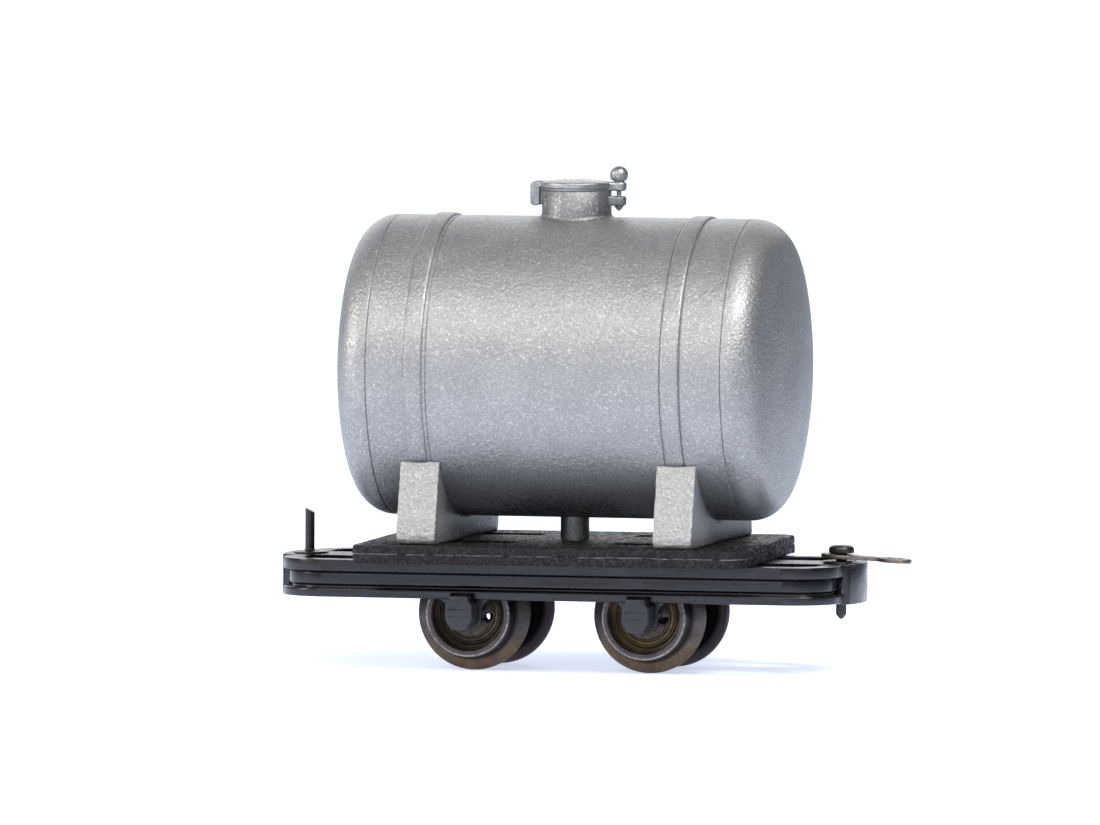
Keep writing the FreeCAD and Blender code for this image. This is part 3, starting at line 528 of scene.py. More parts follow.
def raw_metal(name, dark, light, roughness, rust=0.0):
    """Untreated or oxidised metal with blotches and scratches."""
    f = Finish(name, metallic=0.85)
    blotch = f.noise(2.6, detail=5, rough=0.65)
    scratch = f.noise(6.0, detail=2, stretch=(0.25, 3.0, 3.0))
    color = f.blend(f.spread(blotch, 0.36, 0.66), dark, light)
    color = f.blend(f.spread(f.noise(4.5, detail=4), 0.50, 0.66, 0.0, rust), color, (0.17, 0.105, 0.065))
    f.relief((blotch, 0.034), (scratch, 0.010), (f.noise(9.0), 0.012))
    return f.done(color, f.spread(blotch, 0.3, 0.7, roughness + 0.10, roughness - 0.06))


TANK_PAINT = silver_paint("tank_paint", (0.350, 0.350, 0.350), (0.305, 0.306, 0.308), 1.0,
                          roughness=0.46, metallic=0.79, underside=True)
HATCH_PAINT = silver_paint("hatch_paint", (0.36, 0.362, 0.360), (0.29, 0.292, 0.294), 0.5, roughness=0.42)
NECK_PAINT = silver_paint("neck_paint", (0.23, 0.232, 0.238), (0.18, 0.182, 0.188), 0.4,
                          roughness=0.50, metallic=0.80)
PIPE_PAINT = silver_paint("pipe_paint", (0.48, 0.47, 0.44), (0.28, 0.275, 0.26), 0.8, roughness=0.42)
SADDLE_PAINT = cast_silver("saddle_paint")
FRAME_PLASTIC = black_plastic("frame_plastic", (0.003, 0.0026, 0.004), (0.007, 0.0061, 0.009), 0.25)
BOX_PLASTIC = black_plastic("box_plastic", (0.009, 0.0088, 0.012), (0.017, 0.0168, 0.023), 0.44)
PIN_PLASTIC = black_plastic("pin_black", (0.006, 0.005, 0.005), (0.018, 0.014, 0.013), 0.34)
BUSH_PLASTIC = black_plastic("bush_plastic", (0.030, 0.030, 0.030), (0.050, 0.050, 0.050), 0.50)
DECK_BOARD = deck_material("deck_board")
LINK_METAL = raw_metal("link_metal", (0.085, 0.072, 0.062), (0.30, 0.27, 0.24), 0.40, rust=0.70)
AXLE_METAL = raw_metal("axle_metal", (0.13, 0.12, 0.11), (0.28, 0.26, 0.24), 0.38, rust=0.35)
SCREW_METAL = raw_metal("screw_metal", (0.16, 0.16, 0.16), (0.34, 0.34, 0.35), 0.40, rust=0.15)
BALLAST_METAL = raw_metal("ballast_metal", (0.22, 0.22, 0.22), (0.42, 0.42, 0.43), 0.42, rust=0.30)
CUT_FACET = raw_metal("cut_facet", (0.34, 0.29, 0.15), (0.62, 0.56, 0.34), 0.40, rust=0.20)


# -------- tank
WALL = 0.60
KNUCKLE_R = 1.70
CROWN_R = 24.0
SEAM_GROOVE = 0.045         # chamfer on each side of a seam, and depth of the lines by the bands
BARREL_AXIS = at_mm(0, 0, TANK_Z) @ ALONG_X


def tank_surface_z(y):
    """Height of the top of the tank at a distance from its centre line."""
    return TANK_Z + sqrt(TANK_R ** 2 - y ** 2)


def make_barrel():
    """The rolled middle; a fine line runs down each side of the bands, and at each seam."""
    seam = [(SEAM_X - SEAM_GROOVE, TANK_R), (SEAM_X, TANK_R - SEAM_GROOVE), (SEAM_X, TANK_R - WALL)]
    band_low, band_high = box_mm("tank_band_b")
    lines = []
    for x in (band_low.x - 0.02, band_high.x + 0.02):
        lines += [(x - 0.035, TANK_R), (x - 0.012, TANK_R - SEAM_GROOVE),
                  (x + 0.012, TANK_R - SEAM_GROOVE), (x + 0.035, TANK_R)]
    half = lines + seam
    profile = [(-x, r) for x, r in half[::-1]] + half
    barrel = turned("tank_barrel_skin", profile, BARREL_AXIS, TURN_STEPS, corner=0.01)
    deliver(barrel, "wagon", ["tank_barrel"], TANK_PAINT)


def dished_outline(inset):
    """Half outline of a dished end, from the seam to the tip on the axis."""
    knuckle_x = SEAM_X + 0.09
    centre_r = TANK_R - KNUCKLE_R
    crown_x = knuckle_x - sqrt((CROWN_R - KNUCKLE_R) ** 2 - centre_r ** 2)
    lean = asin(centre_r / (CROWN_R - KNUCKLE_R))
    points = []
    for k in range(17):
        a = pi / 2 - (pi / 2 - lean) * k / 16
        points.append((knuckle_x + (KNUCKLE_R - inset) * cos(a),
                       centre_r + (KNUCKLE_R - inset) * sin(a)))
    for k in range(1, 25):
        a = lean * (1 - k / 24)
        points.append((crown_x + (CROWN_R - inset) * cos(a), (CROWN_R - inset) * sin(a)))
    points[-1] = (points[-1][0], 0)
    return points


def make_tank_end(letter, side):
    """A dished end; a fine groove is left where it meets the barrel."""
    profile = dished_outline(WALL)[::-1] + [(SEAM_X, TANK_R - WALL), (SEAM_X, TANK_R - SEAM_GROOVE)]
    profile += [(SEAM_X + SEAM_GROOVE, TANK_R)] + dished_outline(0)[1:]
    place = at_mm(0, 0, TANK_Z) @ half_turn(side) @ ALONG_X
    end = turned("tank_end_skin_" + letter, profile, place, TURN_STEPS, corner=0.02)
    deliver(end, "wagon", ["tank_end_" + letter], TANK_PAINT)


def make_band(letter):
    """The strap over the tank, with softly worn edges, from one saddle tip to the other."""
    low, high = box_mm("tank_band_" + letter)
    thick = high.z - (TANK_Z + TANK_R)
    outer = TANK_R + thick
    round_x, round_r = 0.17, min(thick, 0.12)
    left = [(low.x + round_x * (1 - sin(a)), outer - round_r * (1 - cos(a)))
            for a in (radians(90 * k / 6) for k in range(6, -1, -1))]
    right = [(low.x + high.x - x, r) for x, r in reversed(left)]
    profile = [(low.x, TANK_R - 0.03)] + left + right + [(high.x, TANK_R - 0.03)]
    tip = degrees(acos((TANK_Z - low.z) / TANK_R))
    band = turned("tank_band_skin_" + letter, profile, BARREL_AXIS, TURN_STEPS, corner=0.05,
                  sector=(tip + 0.6, 359.4 - tip))
    roughen(band, 0.012, 0.8)
    deliver(band, "wagon", ["tank_band_" + letter], TANK_PAINT)


def make_saddle(letter):
    """A cast cradle: hugs the tank, flat under the foot, tapering to a thin tip on each side."""
    low, high = box_mm("tank_saddle_" + letter)
    middle_x = (low.x + high.x) / 2
    half_x = (high.x - low.x) / 2
    foot_y = high.y
    foot_z = low.z + 0.45
    foot_round = 0.26
    tip_angle = acos((TANK_Z - high.z) / TANK_R)
    tip_y = TANK_R * sin(tip_angle)
    corner_angle = radians(41)
    foot_angle = radians(44)

    def outside(angle):
        """The point of the outer face that goes with an angle round the tank."""
        if angle < corner_angle:
            y = foot_y * angle / corner_angle
            over = max(0.0, y - (foot_y - foot_round))
            return y, low.z + foot_round - sqrt(foot_round ** 2 - over ** 2)
        if angle < foot_angle:
            start = low.z + foot_round
            t = (angle - corner_angle) / (foot_angle - corner_angle)
            return foot_y, start + (foot_z - start) * t
        t = (angle - foot_angle) / (tip_angle - foot_angle)
        return foot_y + (tip_y + 0.07 - foot_y) * t, foot_z + (high.z - foot_z) * t

    edge = 0.13
    loops = []
    steps = 420
    for k in range(steps + 1):
        angle = tip_angle * (2 * k / steps - 1)
        inner = Vector((TANK_R * sin(angle), TANK_Z - TANK_R * cos(angle)))
        oy, oz = outside(abs(angle))
        outer = Vector((oy if angle > 0 else -oy, oz))
        depth = (outer - inner).length
        out = (outer - inner) / depth
        soft = min(edge, depth * 0.3)
        section = [(-half_x + soft * 0.4, 0.0), (half_x - soft * 0.4, 0.0)]
        side = [(half_x - edge * (1 - cos(a)), depth - soft * (1 - sin(a)))
                for a in (radians(90 * j / 3) for j in range(4))]
        rows = [(half_x, depth * t) for t in (0.06, 0.2, 0.35, 0.5, 0.65, 0.8)]
        if rows[-1][1] > depth - soft:
            rows = [(half_x, (depth - soft) * t) for t in (0.1, 0.25, 0.4, 0.55, 0.7, 0.85)]
        right = rows + side
        face = [(half_x * t, depth) for t in (0.75, 0.5, 0.25, 0, -0.25, -0.5, -0.75)]
        left = [(-x, d) for x, d in reversed(right)]
        ring = section + right + face + left
        loops.append([Vector((middle_x + x, inner.x + out.x * d, inner.y + out.y * d)) for x, d in ring])
    saddle = lofted("tank_saddle_cast_" + letter, loops)
    roughen(saddle, 0.028, 2.6, test=lambda c: c.z > low.z + 0.03)
    deliver(saddle, "wagon", ["tank_saddle_" + letter], SADDLE_PAINT)


def make_outlet():
    low, high = box_mm("outlet_pipe")
    radius = 0.73
    collar = high.x
    top = TANK_Z - TANK_R + 0.25
    profile = [(low.z, 0), (low.z, collar - 0.06), (low.z + 0.05, collar - 0.10),
               (low.z + 0.10, radius + 0.01), (low.z + 0.14, radius), (top, radius), (top, 0)]
    pipe = turned("outlet_pipe_stub", profile, Matrix.Identity(4), 72, corner=0.03)
    roughen(pipe, 0.010, 1.8)
    deliver(pipe, "wagon", ["outlet_pipe"], PIPE_PAINT)


# -------- hatch
NECK_R = 1.763
LUG_R = 0.38
LOWER_LUG_Z = BOLT_LOW.z + 0.27
LOWER_LUG_TOP_Z = LOWER_LUG_Z + 0.49


def clamp_lug(name, inner_x, bolt_x, z0, z1):
    outline = [(inner_x, -LUG_R)] + arc_points(bolt_x, 0, LUG_R, -90, 90, 24) + [(inner_x, LUG_R)]
    return soften(plate(name, outline, z0, z1), 0.13, segments=4)


def make_neck():
    """The neck, with a fillet that follows the tank's curve all the way round."""
    top = box_mm("hatch_neck")[1].z
    flare = 0.22
    around = [tau * k / SMALL_STEPS for k in range(SMALL_STEPS)]
    fillet = [(NECK_R + flare, -0.25)]
    for k in range(9):
        a = pi / 2 * k / 8
        fillet.append((NECK_R + flare * (1 - sin(a)), flare * (1 - cos(a))))
    loops = []
    for radius, lift in fillet:
        loops.append([Vector((radius * cos(a), radius * sin(a), tank_surface_z(radius * sin(a)) + lift))
                      for a in around])
    for radius, z in ((NECK_R, top - 0.03), (NECK_R - 0.03, top), (NECK_R - 0.35, top)):
        loops.append([Vector((radius * cos(a), radius * sin(a), z)) for a in around])
    neck = lofted("hatch_neck_skin", loops)
    lug = clamp_lug("lower_lug", NECK_R - 0.3, BOLT_X, LOWER_LUG_Z, LOWER_LUG_TOP_Z)
    add(neck, lug)
    pit = turned("pit", [(-0.12, 0), (-0.08, 0.09), (0, 0.12), (0.08, 0.09), (0.12, 0)],
                 at_mm(-1.345, -1.175, 23.17), 24, corner=0)
    cut(neck, pit)
    roughen(neck, 0.010, 1.4)
    deliver(neck, "wagon", ["hatch_neck"], NECK_PAINT)


def make_lid():
    """The crowned lid: lip, strap down to the hinge, and the upper lug of the clamp."""
    low, high = box_mm("hatch_lid")
    neck_top = box_mm("hatch_neck")[1].z
    radius = high.y
    lip_z = neck_top + 0.14
    edge_z = neck_top + 0.44
    crown_z = neck_top + 0.58
    profile = [(neck_top, 0), (neck_top, radius - 0.10), (lip_z, radius - 0.10), (lip_z, radius),
               (edge_z - 0.05, radius), (edge_z, radius - 0.06)]
    crown_r = (radius ** 2 + (crown_z - edge_z) ** 2) / (2 * (crown_z - edge_z))
    for k in range(1, 10):
        r = (radius - 0.06) * (1 - k / 9)
        profile.append((crown_z - crown_r + sqrt(crown_r ** 2 - r ** 2), r))
    lid = turned("hatch_lid_skin", profile, Matrix.Identity(4), SMALL_STEPS, corner=0.055)
    strap_x, leg_x, foot_z = low.x, low.x + 0.50, low.z
    top_z = edge_z + 0.03
    outline = [(-0.95, lip_z + 0.05), (-0.95, top_z + 0.02), (strap_x + 0.22, top_z),
               (strap_x + 0.06, top_z - 0.06),
               (strap_x, top_z - 0.22), (strap_x, foot_z + 0.12), (strap_x + 0.12, foot_z),
               (leg_x - 0.10, foot_z), (leg_x, foot_z + 0.10), (leg_x, lip_z + 0.05)]
    strap = plate("strap", rounded(outline, 0.08), -0.45, 0.45, PROFILE_ON_Y)
    soften(strap, 0.11, angle=40, segments=4)
    foot = soften(block("hinge_foot", (leg_x - 0.15, -0.25, foot_z + 0.05),
                        (-NECK_R + 0.02, 0.25, foot_z + 0.45)), 0.05)
    lug = clamp_lug("upper_lug", radius - 0.5, BOLT_X, neck_top + 0.01, neck_top + 0.47)
    add(lid, strap, foot, lug)
    roughen(lid, 0.010, 1.6)
    deliver(lid, "wagon", ["hatch_lid"], HATCH_PAINT)


def make_bolt_and_knob():
    at_bolt = at_mm(BOLT_X, 0, 0)
    z = BOLT_LOW.z
    bolt = turned("hatch_bolt_stem", [(z, 0), (z + 0.05, 0.09), (z + 0.24, 0.24), (z + 0.27, 0.24),
                                      (z + 0.27, 0.12), (BOLT_HIGH.z, 0.12), (BOLT_HIGH.z, 0)],
                  at_bolt, 48, corner=0.02)
    deliver(bolt, "wagon", ["hatch_bolt"], HATCH_PAINT)
    low, high = box_mm("hatch_knob")
    radius = (high.x - low.x) / 2
    middle = high.z - radius
    seat = low.z
    profile = [(seat, 0), (seat, 0.26), (seat + 0.05, 0.26)]
    start = degrees(asin((seat + 0.05 - middle) / radius))
    for k in range(1, 33):
        a = radians(start + (90 - start) * k / 32)
        profile.append((middle + radius * sin(a), radius * cos(a)))
    profile[-1] = (profile[-1][0], 0)
    knob = turned("hatch_ball_nut", profile, at_bolt, 64, corner=0.02)
    roughen(knob, 0.012, 2.2)
    deliver(knob, "wagon", ["hatch_knob"], HATCH_PAINT)


# -------- deck
DECK_HALF_X, DECK_HALF_Y, DECK_CORNER_R = 10.08, 8.05, 0.90
DECK_SKEW = 2.4                             # degrees
WHEEL_SLOT_X, END_SLOT_X = (2.40, 6.72), (7.90, 9.20)
END_SLOT_HALF_Y = 0.32


def make_deck(node, slots_y, with_end_slots, fray):
    """A sawn board: ragged edge, slots over the wheels, set a little askew."""
    low, high = box_mm(node)
    levels = [(low.z, 0.05), (low.z + 0.03, 0.0), (low.z + 0.13, 0.0), (low.z + 0.24, 0.0),
              (high.z - 0.12, 0.0), (high.z - 0.05, 0.012), (high.z - 0.015, 0.04), (high.z, 0.085)]
    loop = rounded_rectangle(DECK_HALF_X, DECK_HALF_Y, DECK_CORNER_R, 0, steps=12)
    base = []
    for one, two in zip(loop, loop[1:] + loop[:1]):
        parts = max(1, round((two - one).length / 0.10))
        base += [one.lerp(two, k / parts) for k in range(parts)]
    inner_x, inner_y = DECK_HALF_X - DECK_CORNER_R, DECK_HALF_Y - DECK_CORNER_R
    shaped = []
    for z, inset in levels:
        ring = []
        for point in base:
            outward = Vector((point.x - max(-inner_x, min(inner_x, point.x)),
                              point.y - max(-inner_y, min(inner_y, point.y)), 0))
            outward = outward.normalized() if outward.length > 1e-6 else Vector((0, 0, 0))
            chip = noise.noise(Vector((point.x * 1.9, point.y * 1.9, z * 2.6 + fray)))
            chip2 = noise.noise(Vector((point.x * 7.5, point.y * 7.5, z * 8.0 + fray)))
            bite = 0.030 + 0.034 * chip + 0.034 * chip2
            place = point - outward * (inset + max(0.0, bite))
            ring.append(Vector((place.x, place.y, z)))
        shaped.append(ring)
    board = lofted(node + "_board", shaped)
    for sx in (-1, 1):
        x0, x1 = span(sx, *WHEEL_SLOT_X)
        for y0, y1 in slots_y:
            cut(board, block("slot", (x0, y0, low.z - 1), (x1, y1, high.z + 1)))
        if with_end_slots:
            x0, x1 = span(sx, *END_SLOT_X)
            cut(board, block("slot", (x0, -END_SLOT_HALF_Y, low.z - 1), (x1, END_SLOT_HALF_Y, high.z + 1)))
    board.data.transform(Matrix.Rotation(radians(DECK_SKEW), 4, "Z"))
    deliver(board, "wagon", [node], DECK_BOARD)


make_barrel()
for letter, side in (("a", -1), ("b", 1)):
    make_tank_end(letter, side)
    make_band(letter)
    make_saddle(letter)
make_outlet()
make_neck()
make_lid()
make_bolt_and_knob()
make_deck("deck_lower", ((-3.95, -2.20), (2.20, 3.95)), False, 3.1)
make_deck("deck_upper", ((-3.75, -2.15), (3.60, 5.10)), True, 11.7)


# -------- underframe
FRAME_CORNER_R = 2.55
FRAME_END_X = 14.40
BEAM_BOTTOM, BEAM_TOP = 3.02, 4.92
SILL_HALF_Y = 1.60
PAD_HALF_Y = 2.15
PAD_CORNER_X = 14.70
BOSS_HALF_Y = 1.30
BOSS_INNER_X = 12.85
SILL_HALF_X = 13.55
CROSS_X = 8.60
SCREW_X, SCREW_HOLE_R = 6.63, 0.4


def channel_ring():
    """The channel beams and their curved ends: one section swept round a rounded rectangle."""
    half_x, half_y = FRAME_END_X, FRAME_HIGH.y
    section = [(0, BEAM_BOTTOM), (0, 3.40), (0.03, 3.45), (0.08, 3.47), (0.46, 3.47), (0.46, 3.60),
               (0.35, 3.63), (0.32, 3.70), (0.32, 4.25), (0.42, 4.28), (0.42, 4.35), (0, 4.35),
               (0, BEAM_TOP), (1.05, BEAM_TOP), (1.05, BEAM_BOTTOM)]
    loops = []
    for inset, z in rounded(section, 0.045, segments=3):
        corner = max(FRAME_CORNER_R - inset, 0.2)
        loops.append(rounded_rectangle(half_x - inset, half_y - inset, corner, z, 24))
    return lofted("frame_body", loops, closed=True)


def end_pieces(side):
    """One end: the buffer pad with its bowed face, and the boss for the coupling pin."""
    wall_x = FRAME_END_X - 0.30
    bow = FRAME_HIGH.x - PAD_CORNER_X
    bow_r = (PAD_HALF_Y ** 2 + bow ** 2) / (2 * bow)
    outline = [(wall_x, PAD_HALF_Y), (wall_x, -PAD_HALF_Y)]
    spread_angle = degrees(asin(PAD_HALF_Y / bow_r))
    outline += arc_points(FRAME_HIGH.x - bow_r, 0, bow_r, -spread_angle, spread_angle, 20)
    pad = plate("pad", outline, 2.93, 4.95)
    soften(pad, 0.06, segments=3)
    round_x = BOSS_INNER_X + BOSS_HALF_Y
    outline = [(wall_x + 0.25, -BOSS_HALF_Y), (wall_x + 0.25, BOSS_HALF_Y)]
    outline += arc_points(round_x, 0, BOSS_HALF_Y, 90, 270, 32)
    boss = soften(plate("boss", outline, 2.934, FRAME_HIGH.z), 0.05, segments=3)
    for piece in (pad, boss):
        piece.data.transform(half_turn(side))
    return pad, boss


def axle_guard(axle_x, side):
    """A thin plate with curved shoulders, slotted from below for the axle box's spigot."""
    leg, top, neck_z, bottom_z = 0.88, 1.46, 2.38, 1.70
    curve = []
    for k in range(9):
        a = radians(90 * k / 8)
        curve.append((leg + (top - leg) * (1 - cos(a)), neck_z + (BEAM_BOTTOM - neck_z) * sin(a)))
    half = [(leg, bottom_z)] + curve + [(top, BEAM_BOTTOM + 0.2)]
    slot_r = 0.50
    slot = [(slot_r, bottom_z)] + [(slot_r * cos(radians(a)), TREAD_R + slot_r * sin(radians(a)))
                                   for a in range(0, 91, 10)]
    outline = half[1:] + [(-x, z) for x, z in half[::-1]]
    outline += [(-x, z) for x, z in slot] + slot[-2::-1] + [half[0]]
    outline = list(dict.fromkeys((round(x, 5), round(z, 5)) for x, z in outline))
    y0, y1 = span(side, 4.75, 5.05)
    guard = plate("guard", outline, y0, y1, at_mm(axle_x, 0, 0) @ PROFILE_ON_Y)
    return soften(guard, 0.025, angle=50, segments=2)


def make_frame():
    body = channel_ring()
    plate_low = BEAM_TOP - 0.42
    sill = block("sill", (-SILL_HALF_X, -SILL_HALF_Y, plate_low),
                 (SILL_HALF_X, SILL_HALF_Y, BEAM_TOP - 0.004))
    parts = [soften(sill, 0.05)]
    for side in (-1, 1):
        y0, y1 = span(side, 1.30, SILL_HALF_Y - 0.004)
        web = block("web", (-13.50, y0, BEAM_BOTTOM + 0.12), (13.50, y1, plate_low + 0.2))
        parts.append(soften(web, 0.04))
        y0, y1 = span(side, 1.50, 4.60)
        for x in (-CROSS_X, 0, CROSS_X):
            cross = block("cross", (x - 0.5, y0, 3.474), (x + 0.5, y1, BEAM_TOP - 0.008))
            parts.append(soften(cross, 0.05))
        parts += end_pieces(side)
    add(body, *parts)
    for x in (-AXLE_X, AXLE_X):
        for side in (-1, 1):
            y0, y1 = span(side, 5.03, 6.5)
            cut(body, block("notch", (x - 0.62, y0, 2), (x + 0.62, y1, 3.34)))
            add(body, axle_guard(x, side))
    for x, radius in ((PIN_X, 0.32), (-PIN_X, 0.41)):
        bore = turned("bore", [(2, 0), (2, 0.665), (3.43, 0.665), (3.43, radius), (6, radius), (6, 0)],
                      at_mm(x, 0, 0), 64, corner=0)
        cut(body, bore)
    for x in (-SCREW_X, SCREW_X):
        cut(body, drill("screw_hole", SCREW_HOLE_R, 3, 6, at_mm(x, 0, 0), 48))
    deliver(body, "wagon", ["frame_moulding"], FRAME_PLASTIC)


def make_axle_box(node, side):
    """A grease box: stepped cap, wide shoulders, foot closing in, two grooves across its front."""
    low, high = box_mm(node)
    x = (low.x + high.x) / 2
    half_w = (high.x - low.x) / 2
    back, front = 5.05, max(abs(low.y), abs(high.y))
    cap, foot = 0.50, 0.36
    half = [(foot, low.z), (half_w, 2.08), (half_w, 2.85), (cap, 2.95), (cap, high.z)]
    outline = rounded(half + [(-a, b) for a, b in half[::-1]], 0.07)
    y0, y1 = span(side, back, front)
    body = plate(node + "_body", outline, y0, y1, at_mm(x, 0, 0) @ PROFILE_ON_Y)
    soften(body, 0.085, angle=50, segments=3)
    y0, y1 = span(side, front - 0.018, front + 1)
    for z in (2.17, 2.49):
        cut(body, block("groove", (x - 0.52, y0, z + 0.01), (x + 0.52, y1, z + 0.05)))
    place = at_mm(x, 0, TREAD_R) @ half_turn(side) @ ALONG_Y
    spigot = turned("spigot", [(4.78, 0), (4.78, 0.48), (5.15, 0.48), (5.15, 0)], place, 48, corner=0.02)
    add(body, spigot)
    cut(body, drill("bore", 0.33, 4, 5.95, place, 48))
    roughen(body, 0.012, 2.5, test=lambda c: abs(c.y) > back + 0.05)
    deliver(body, "wagon", [node], BOX_PLASTIC)


# -------- wheelsets
def make_wheel(node, body, axle_x, side, bore_r, hole_angle, material):
    """A turned wheel with rounded flange and tread, ridged web and two holes."""
    face, back = 4.31, 2.60
    rim_in = 1.83
    web = face - 0.85
    flange = [(0, bore_r), (0, 1.07), (0.22, 1.22), (0.22, rim_in - 0.10), (0, rim_in + 0.10),
              (0, 2.79), (0.07, 2.89), (0.14, 2.91), (0.22, 2.89), (0.34, 2.72), (0.50, 2.40),
              (0.60, 2.26), (0.74, 2.225)]
    rim = [(0.14, 2.185), (0.05, 2.165), (0, 2.10), (0.015, 2.06), (0, 2.02), (0, rim_in + 0.07),
           (0.05, rim_in)]
    ridges = [(0.03, rim_in), (0, rim_in - 0.03), (0.04, 1.65), (0.01, 1.63), (0.09, 1.57),
              (0.12, 1.50), (0.10, 1.48), (0.15, 1.43), (0.19, 1.32), (0.16, 1.30), (0.22, 1.25),
              (0.26, 1.18), (0.23, 1.16), (0.28, 1.12), (0.27, 0.66), (0.48, 0.62), (0.50, 0.57),
              (0.50, bore_r)]
    profile = [(back + y, r) for y, r in flange] + [(face - y, r) for y, r in rim]
    profile += [(web + y, r) for y, r in ridges]
    facing = half_turn(side) @ ALONG_Y
    wheel = turned(node + "_turned", profile, at_mm(axle_x, 0, TREAD_R) @ facing, 144, corner=0.012)
    hole_r, hole_ring_r = (0.30 if side < 0 else 0.27), 0.90
    for angle in (hole_angle, hole_angle + 180):
        a = radians(angle)
        centre = at_mm(axle_x + hole_ring_r * cos(a), 0, TREAD_R + hole_ring_r * sin(a))
        cut(wheel, drill("web_hole", hole_r, 1.5, 5.5, centre @ facing, 40))
    deliver(wheel, body, [node], material)


def make_axle(node, body, axle_x):
    end_y, seat, journal = 5.85, 0.38, 0.28
    hub = 4.0
    half = [(2.45, 0.24), (2.60, seat), (hub, seat), (hub + 0.08, journal),
            (end_y - 0.24, journal), (end_y - 0.05, 0.05), (end_y, 0)]
    profile = [(-y, r) for y, r in half[::-1]] + half
    axle = turned(node + "_turned", profile, at_mm(axle_x, 0, TREAD_R) @ ALONG_Y, 64, corner=0.02)
    deliver(axle, body, [node], AXLE_METAL)


# -------- coupling
def make_pin_b():
    """The link's pin, head up, with its edge worn round."""
    low, high = PIN_LOW.z, PIN_HIGH.z
    head_z = 5.42
    profile = [(low, 0), (low, 0.08), (low + 0.22, 0.27), (head_z, 0.27), (head_z, PIN_HEAD_R),
               (head_z + 0.22, PIN_HEAD_R), (high - 0.07, PIN_HEAD_R - 0.07), (high, PIN_HEAD_R - 0.26),
               (high, 0)]
    pin = turned("coupling_pin_head_up", profile, at_mm(PIN_X, 0, 0), 64, corner=0.05)
    roughen(pin, 0.014, 2.6, test=lambda c: c.z > head_z + 0.01)
    deliver(pin, "link_pin", ["coupling_pin_b"], PIN_PLASTIC)


def make_pin_a():
    """The pin put in from below: its shank stands up, snipped off at a slant."""
    low, high = box_mm("coupling_pin_a")
    seat = 3.43
    boss_top, shank_low = FRAME_HIGH.z, FRAME_HIGH.z + 0.10
    profile = [(low.z, 0), (low.z, PIN_HEAD_R - 0.10), (low.z + 0.10, PIN_HEAD_R), (seat, PIN_HEAD_R),
               (seat, 0.41), (boss_top, 0.41), (boss_top + 0.03, 0.30), (shank_low, 0.24)]
    rows = 16
    for k in range(1, rows + 1):
        profile.append((shank_low + (high.z + 0.1 - shank_low) * k / rows, 0.24))
    profile.append((high.z + 0.1, 0))
    pin = turned("coupling_pin_shank_up", profile, at_mm(-PIN_X, 0, 0), 48, corner=0.03)
    slant = radians(28)
    knife = block("knife", (-1, -1, 0), (1, 1, 1))
    knife.data.transform(at_mm(-PIN_X, 0, high.z - 0.155) @ Matrix.Rotation(slant, 4, "Y"))
    cut(pin, knife)
    facing = Vector((sin(slant), 0, cos(slant)))
    pin.data.materials.append(PIN_PLASTIC)
    pin.data.materials.append(CUT_FACET)
    for polygon in pin.data.polygons:
        if polygon.normal.dot(facing) > 0.99 and polygon.center.z > high.z - 0.6:
            polygon.material_index = 1
    deliver(pin, "wagon", ["coupling_pin_a"], PIN_PLASTIC)


def make_link():
    """A stamped link: an eye round the pin, a narrow waist, and a ring for the next pin."""
    eye_r, ring_r, waist, reach, thick = 1.05, 0.87, 0.42, 2.76, 0.20
    fillet = 0.35
    # where a fillet of that radius touches the waist and each round end
    eye_x = sqrt((eye_r + fillet) ** 2 - (waist + fillet) ** 2)
    ring_x = reach - sqrt((ring_r + fillet) ** 2 - (waist + fillet) ** 2)
    eye_a = degrees(asin((waist + fillet) / (eye_r + fillet)))
    ring_a = degrees(asin((waist + fillet) / (ring_r + fillet)))
    upper = arc_points(0, 0, eye_r, 180, eye_a, 40)
    upper += arc_points(eye_x, waist + fillet, fillet, 180 + eye_a, 270, 8)[1:]
    upper += arc_points(ring_x, waist + fillet, fillet, 270, 360 - ring_a, 8)
    upper += arc_points(reach, 0, ring_r, 180 - ring_a, 0, 36)[1:]
    outline = upper + [(x, -y) for x, y in reversed(upper[1:-1])]
    worn = []
    for x, y in outline:
        bite = 1 - max(0.0, 0.018 + 0.026 * noise.noise(Vector((x * 2.1, y * 2.1, 5.0))))
        centre_x = 0 if x < 1.4 else reach
        worn.append((centre_x + (x - centre_x) * bite, y * bite))
    link = plate("coupling_link_stamped", worn, -thick / 2, thick / 2)
    for x, radius in ((0, 0.35), (reach, 0.45)):
        cut(link, drill("hole", radius, -1, 1, at_mm(x, 0, 0), 64))
    soften(link, 0.03, angle=50, segments=2)
    droop = radians(3.5)
    link.data.transform(at_mm(PIN_X, 0, 5.26) @ Matrix.Rotation(droop, 4, "Y"))
    deliver(link, "link", ["coupling_link"], LINK_METAL)


make_frame()
# letter, place, angles of the holes in the near and far wheel, amount of golden stain
WHEELSETS = (("a", -AXLE_X, -6.5, 36.5, 0.20), ("b", AXLE_X, -2.5, 80, 0.80))
for letter, x, near_hole, far_hole, gold in WHEELSETS:
    body = "wheelset_" + letter
    wheel_metal = turned_metal("wheel_metal_" + letter, x, TREAD_R, gold)
    make_wheel("wheel_near_" + letter, body, x, -1, 0.38, near_hole, wheel_metal)
    make_wheel("wheel_far_" + letter, body, x, 1, 0.52, far_hole, wheel_metal)
    make_axle("axle_" + letter, body, x)
    make_axle_box("axle_box_near_" + letter, -1)
    make_axle_box("axle_box_far_" + letter, 1)
make_pin_a()
make_pin_b()
make_link()


def repaint(node, material):
    """Give a CAD node that keeps its own shape a better material."""
    mesh_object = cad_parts[node]
    for slot in mesh_object.material_slots:
        slot.material = material
    if not mesh_object.material_slots:
        mesh_object.data.materials.append(material)


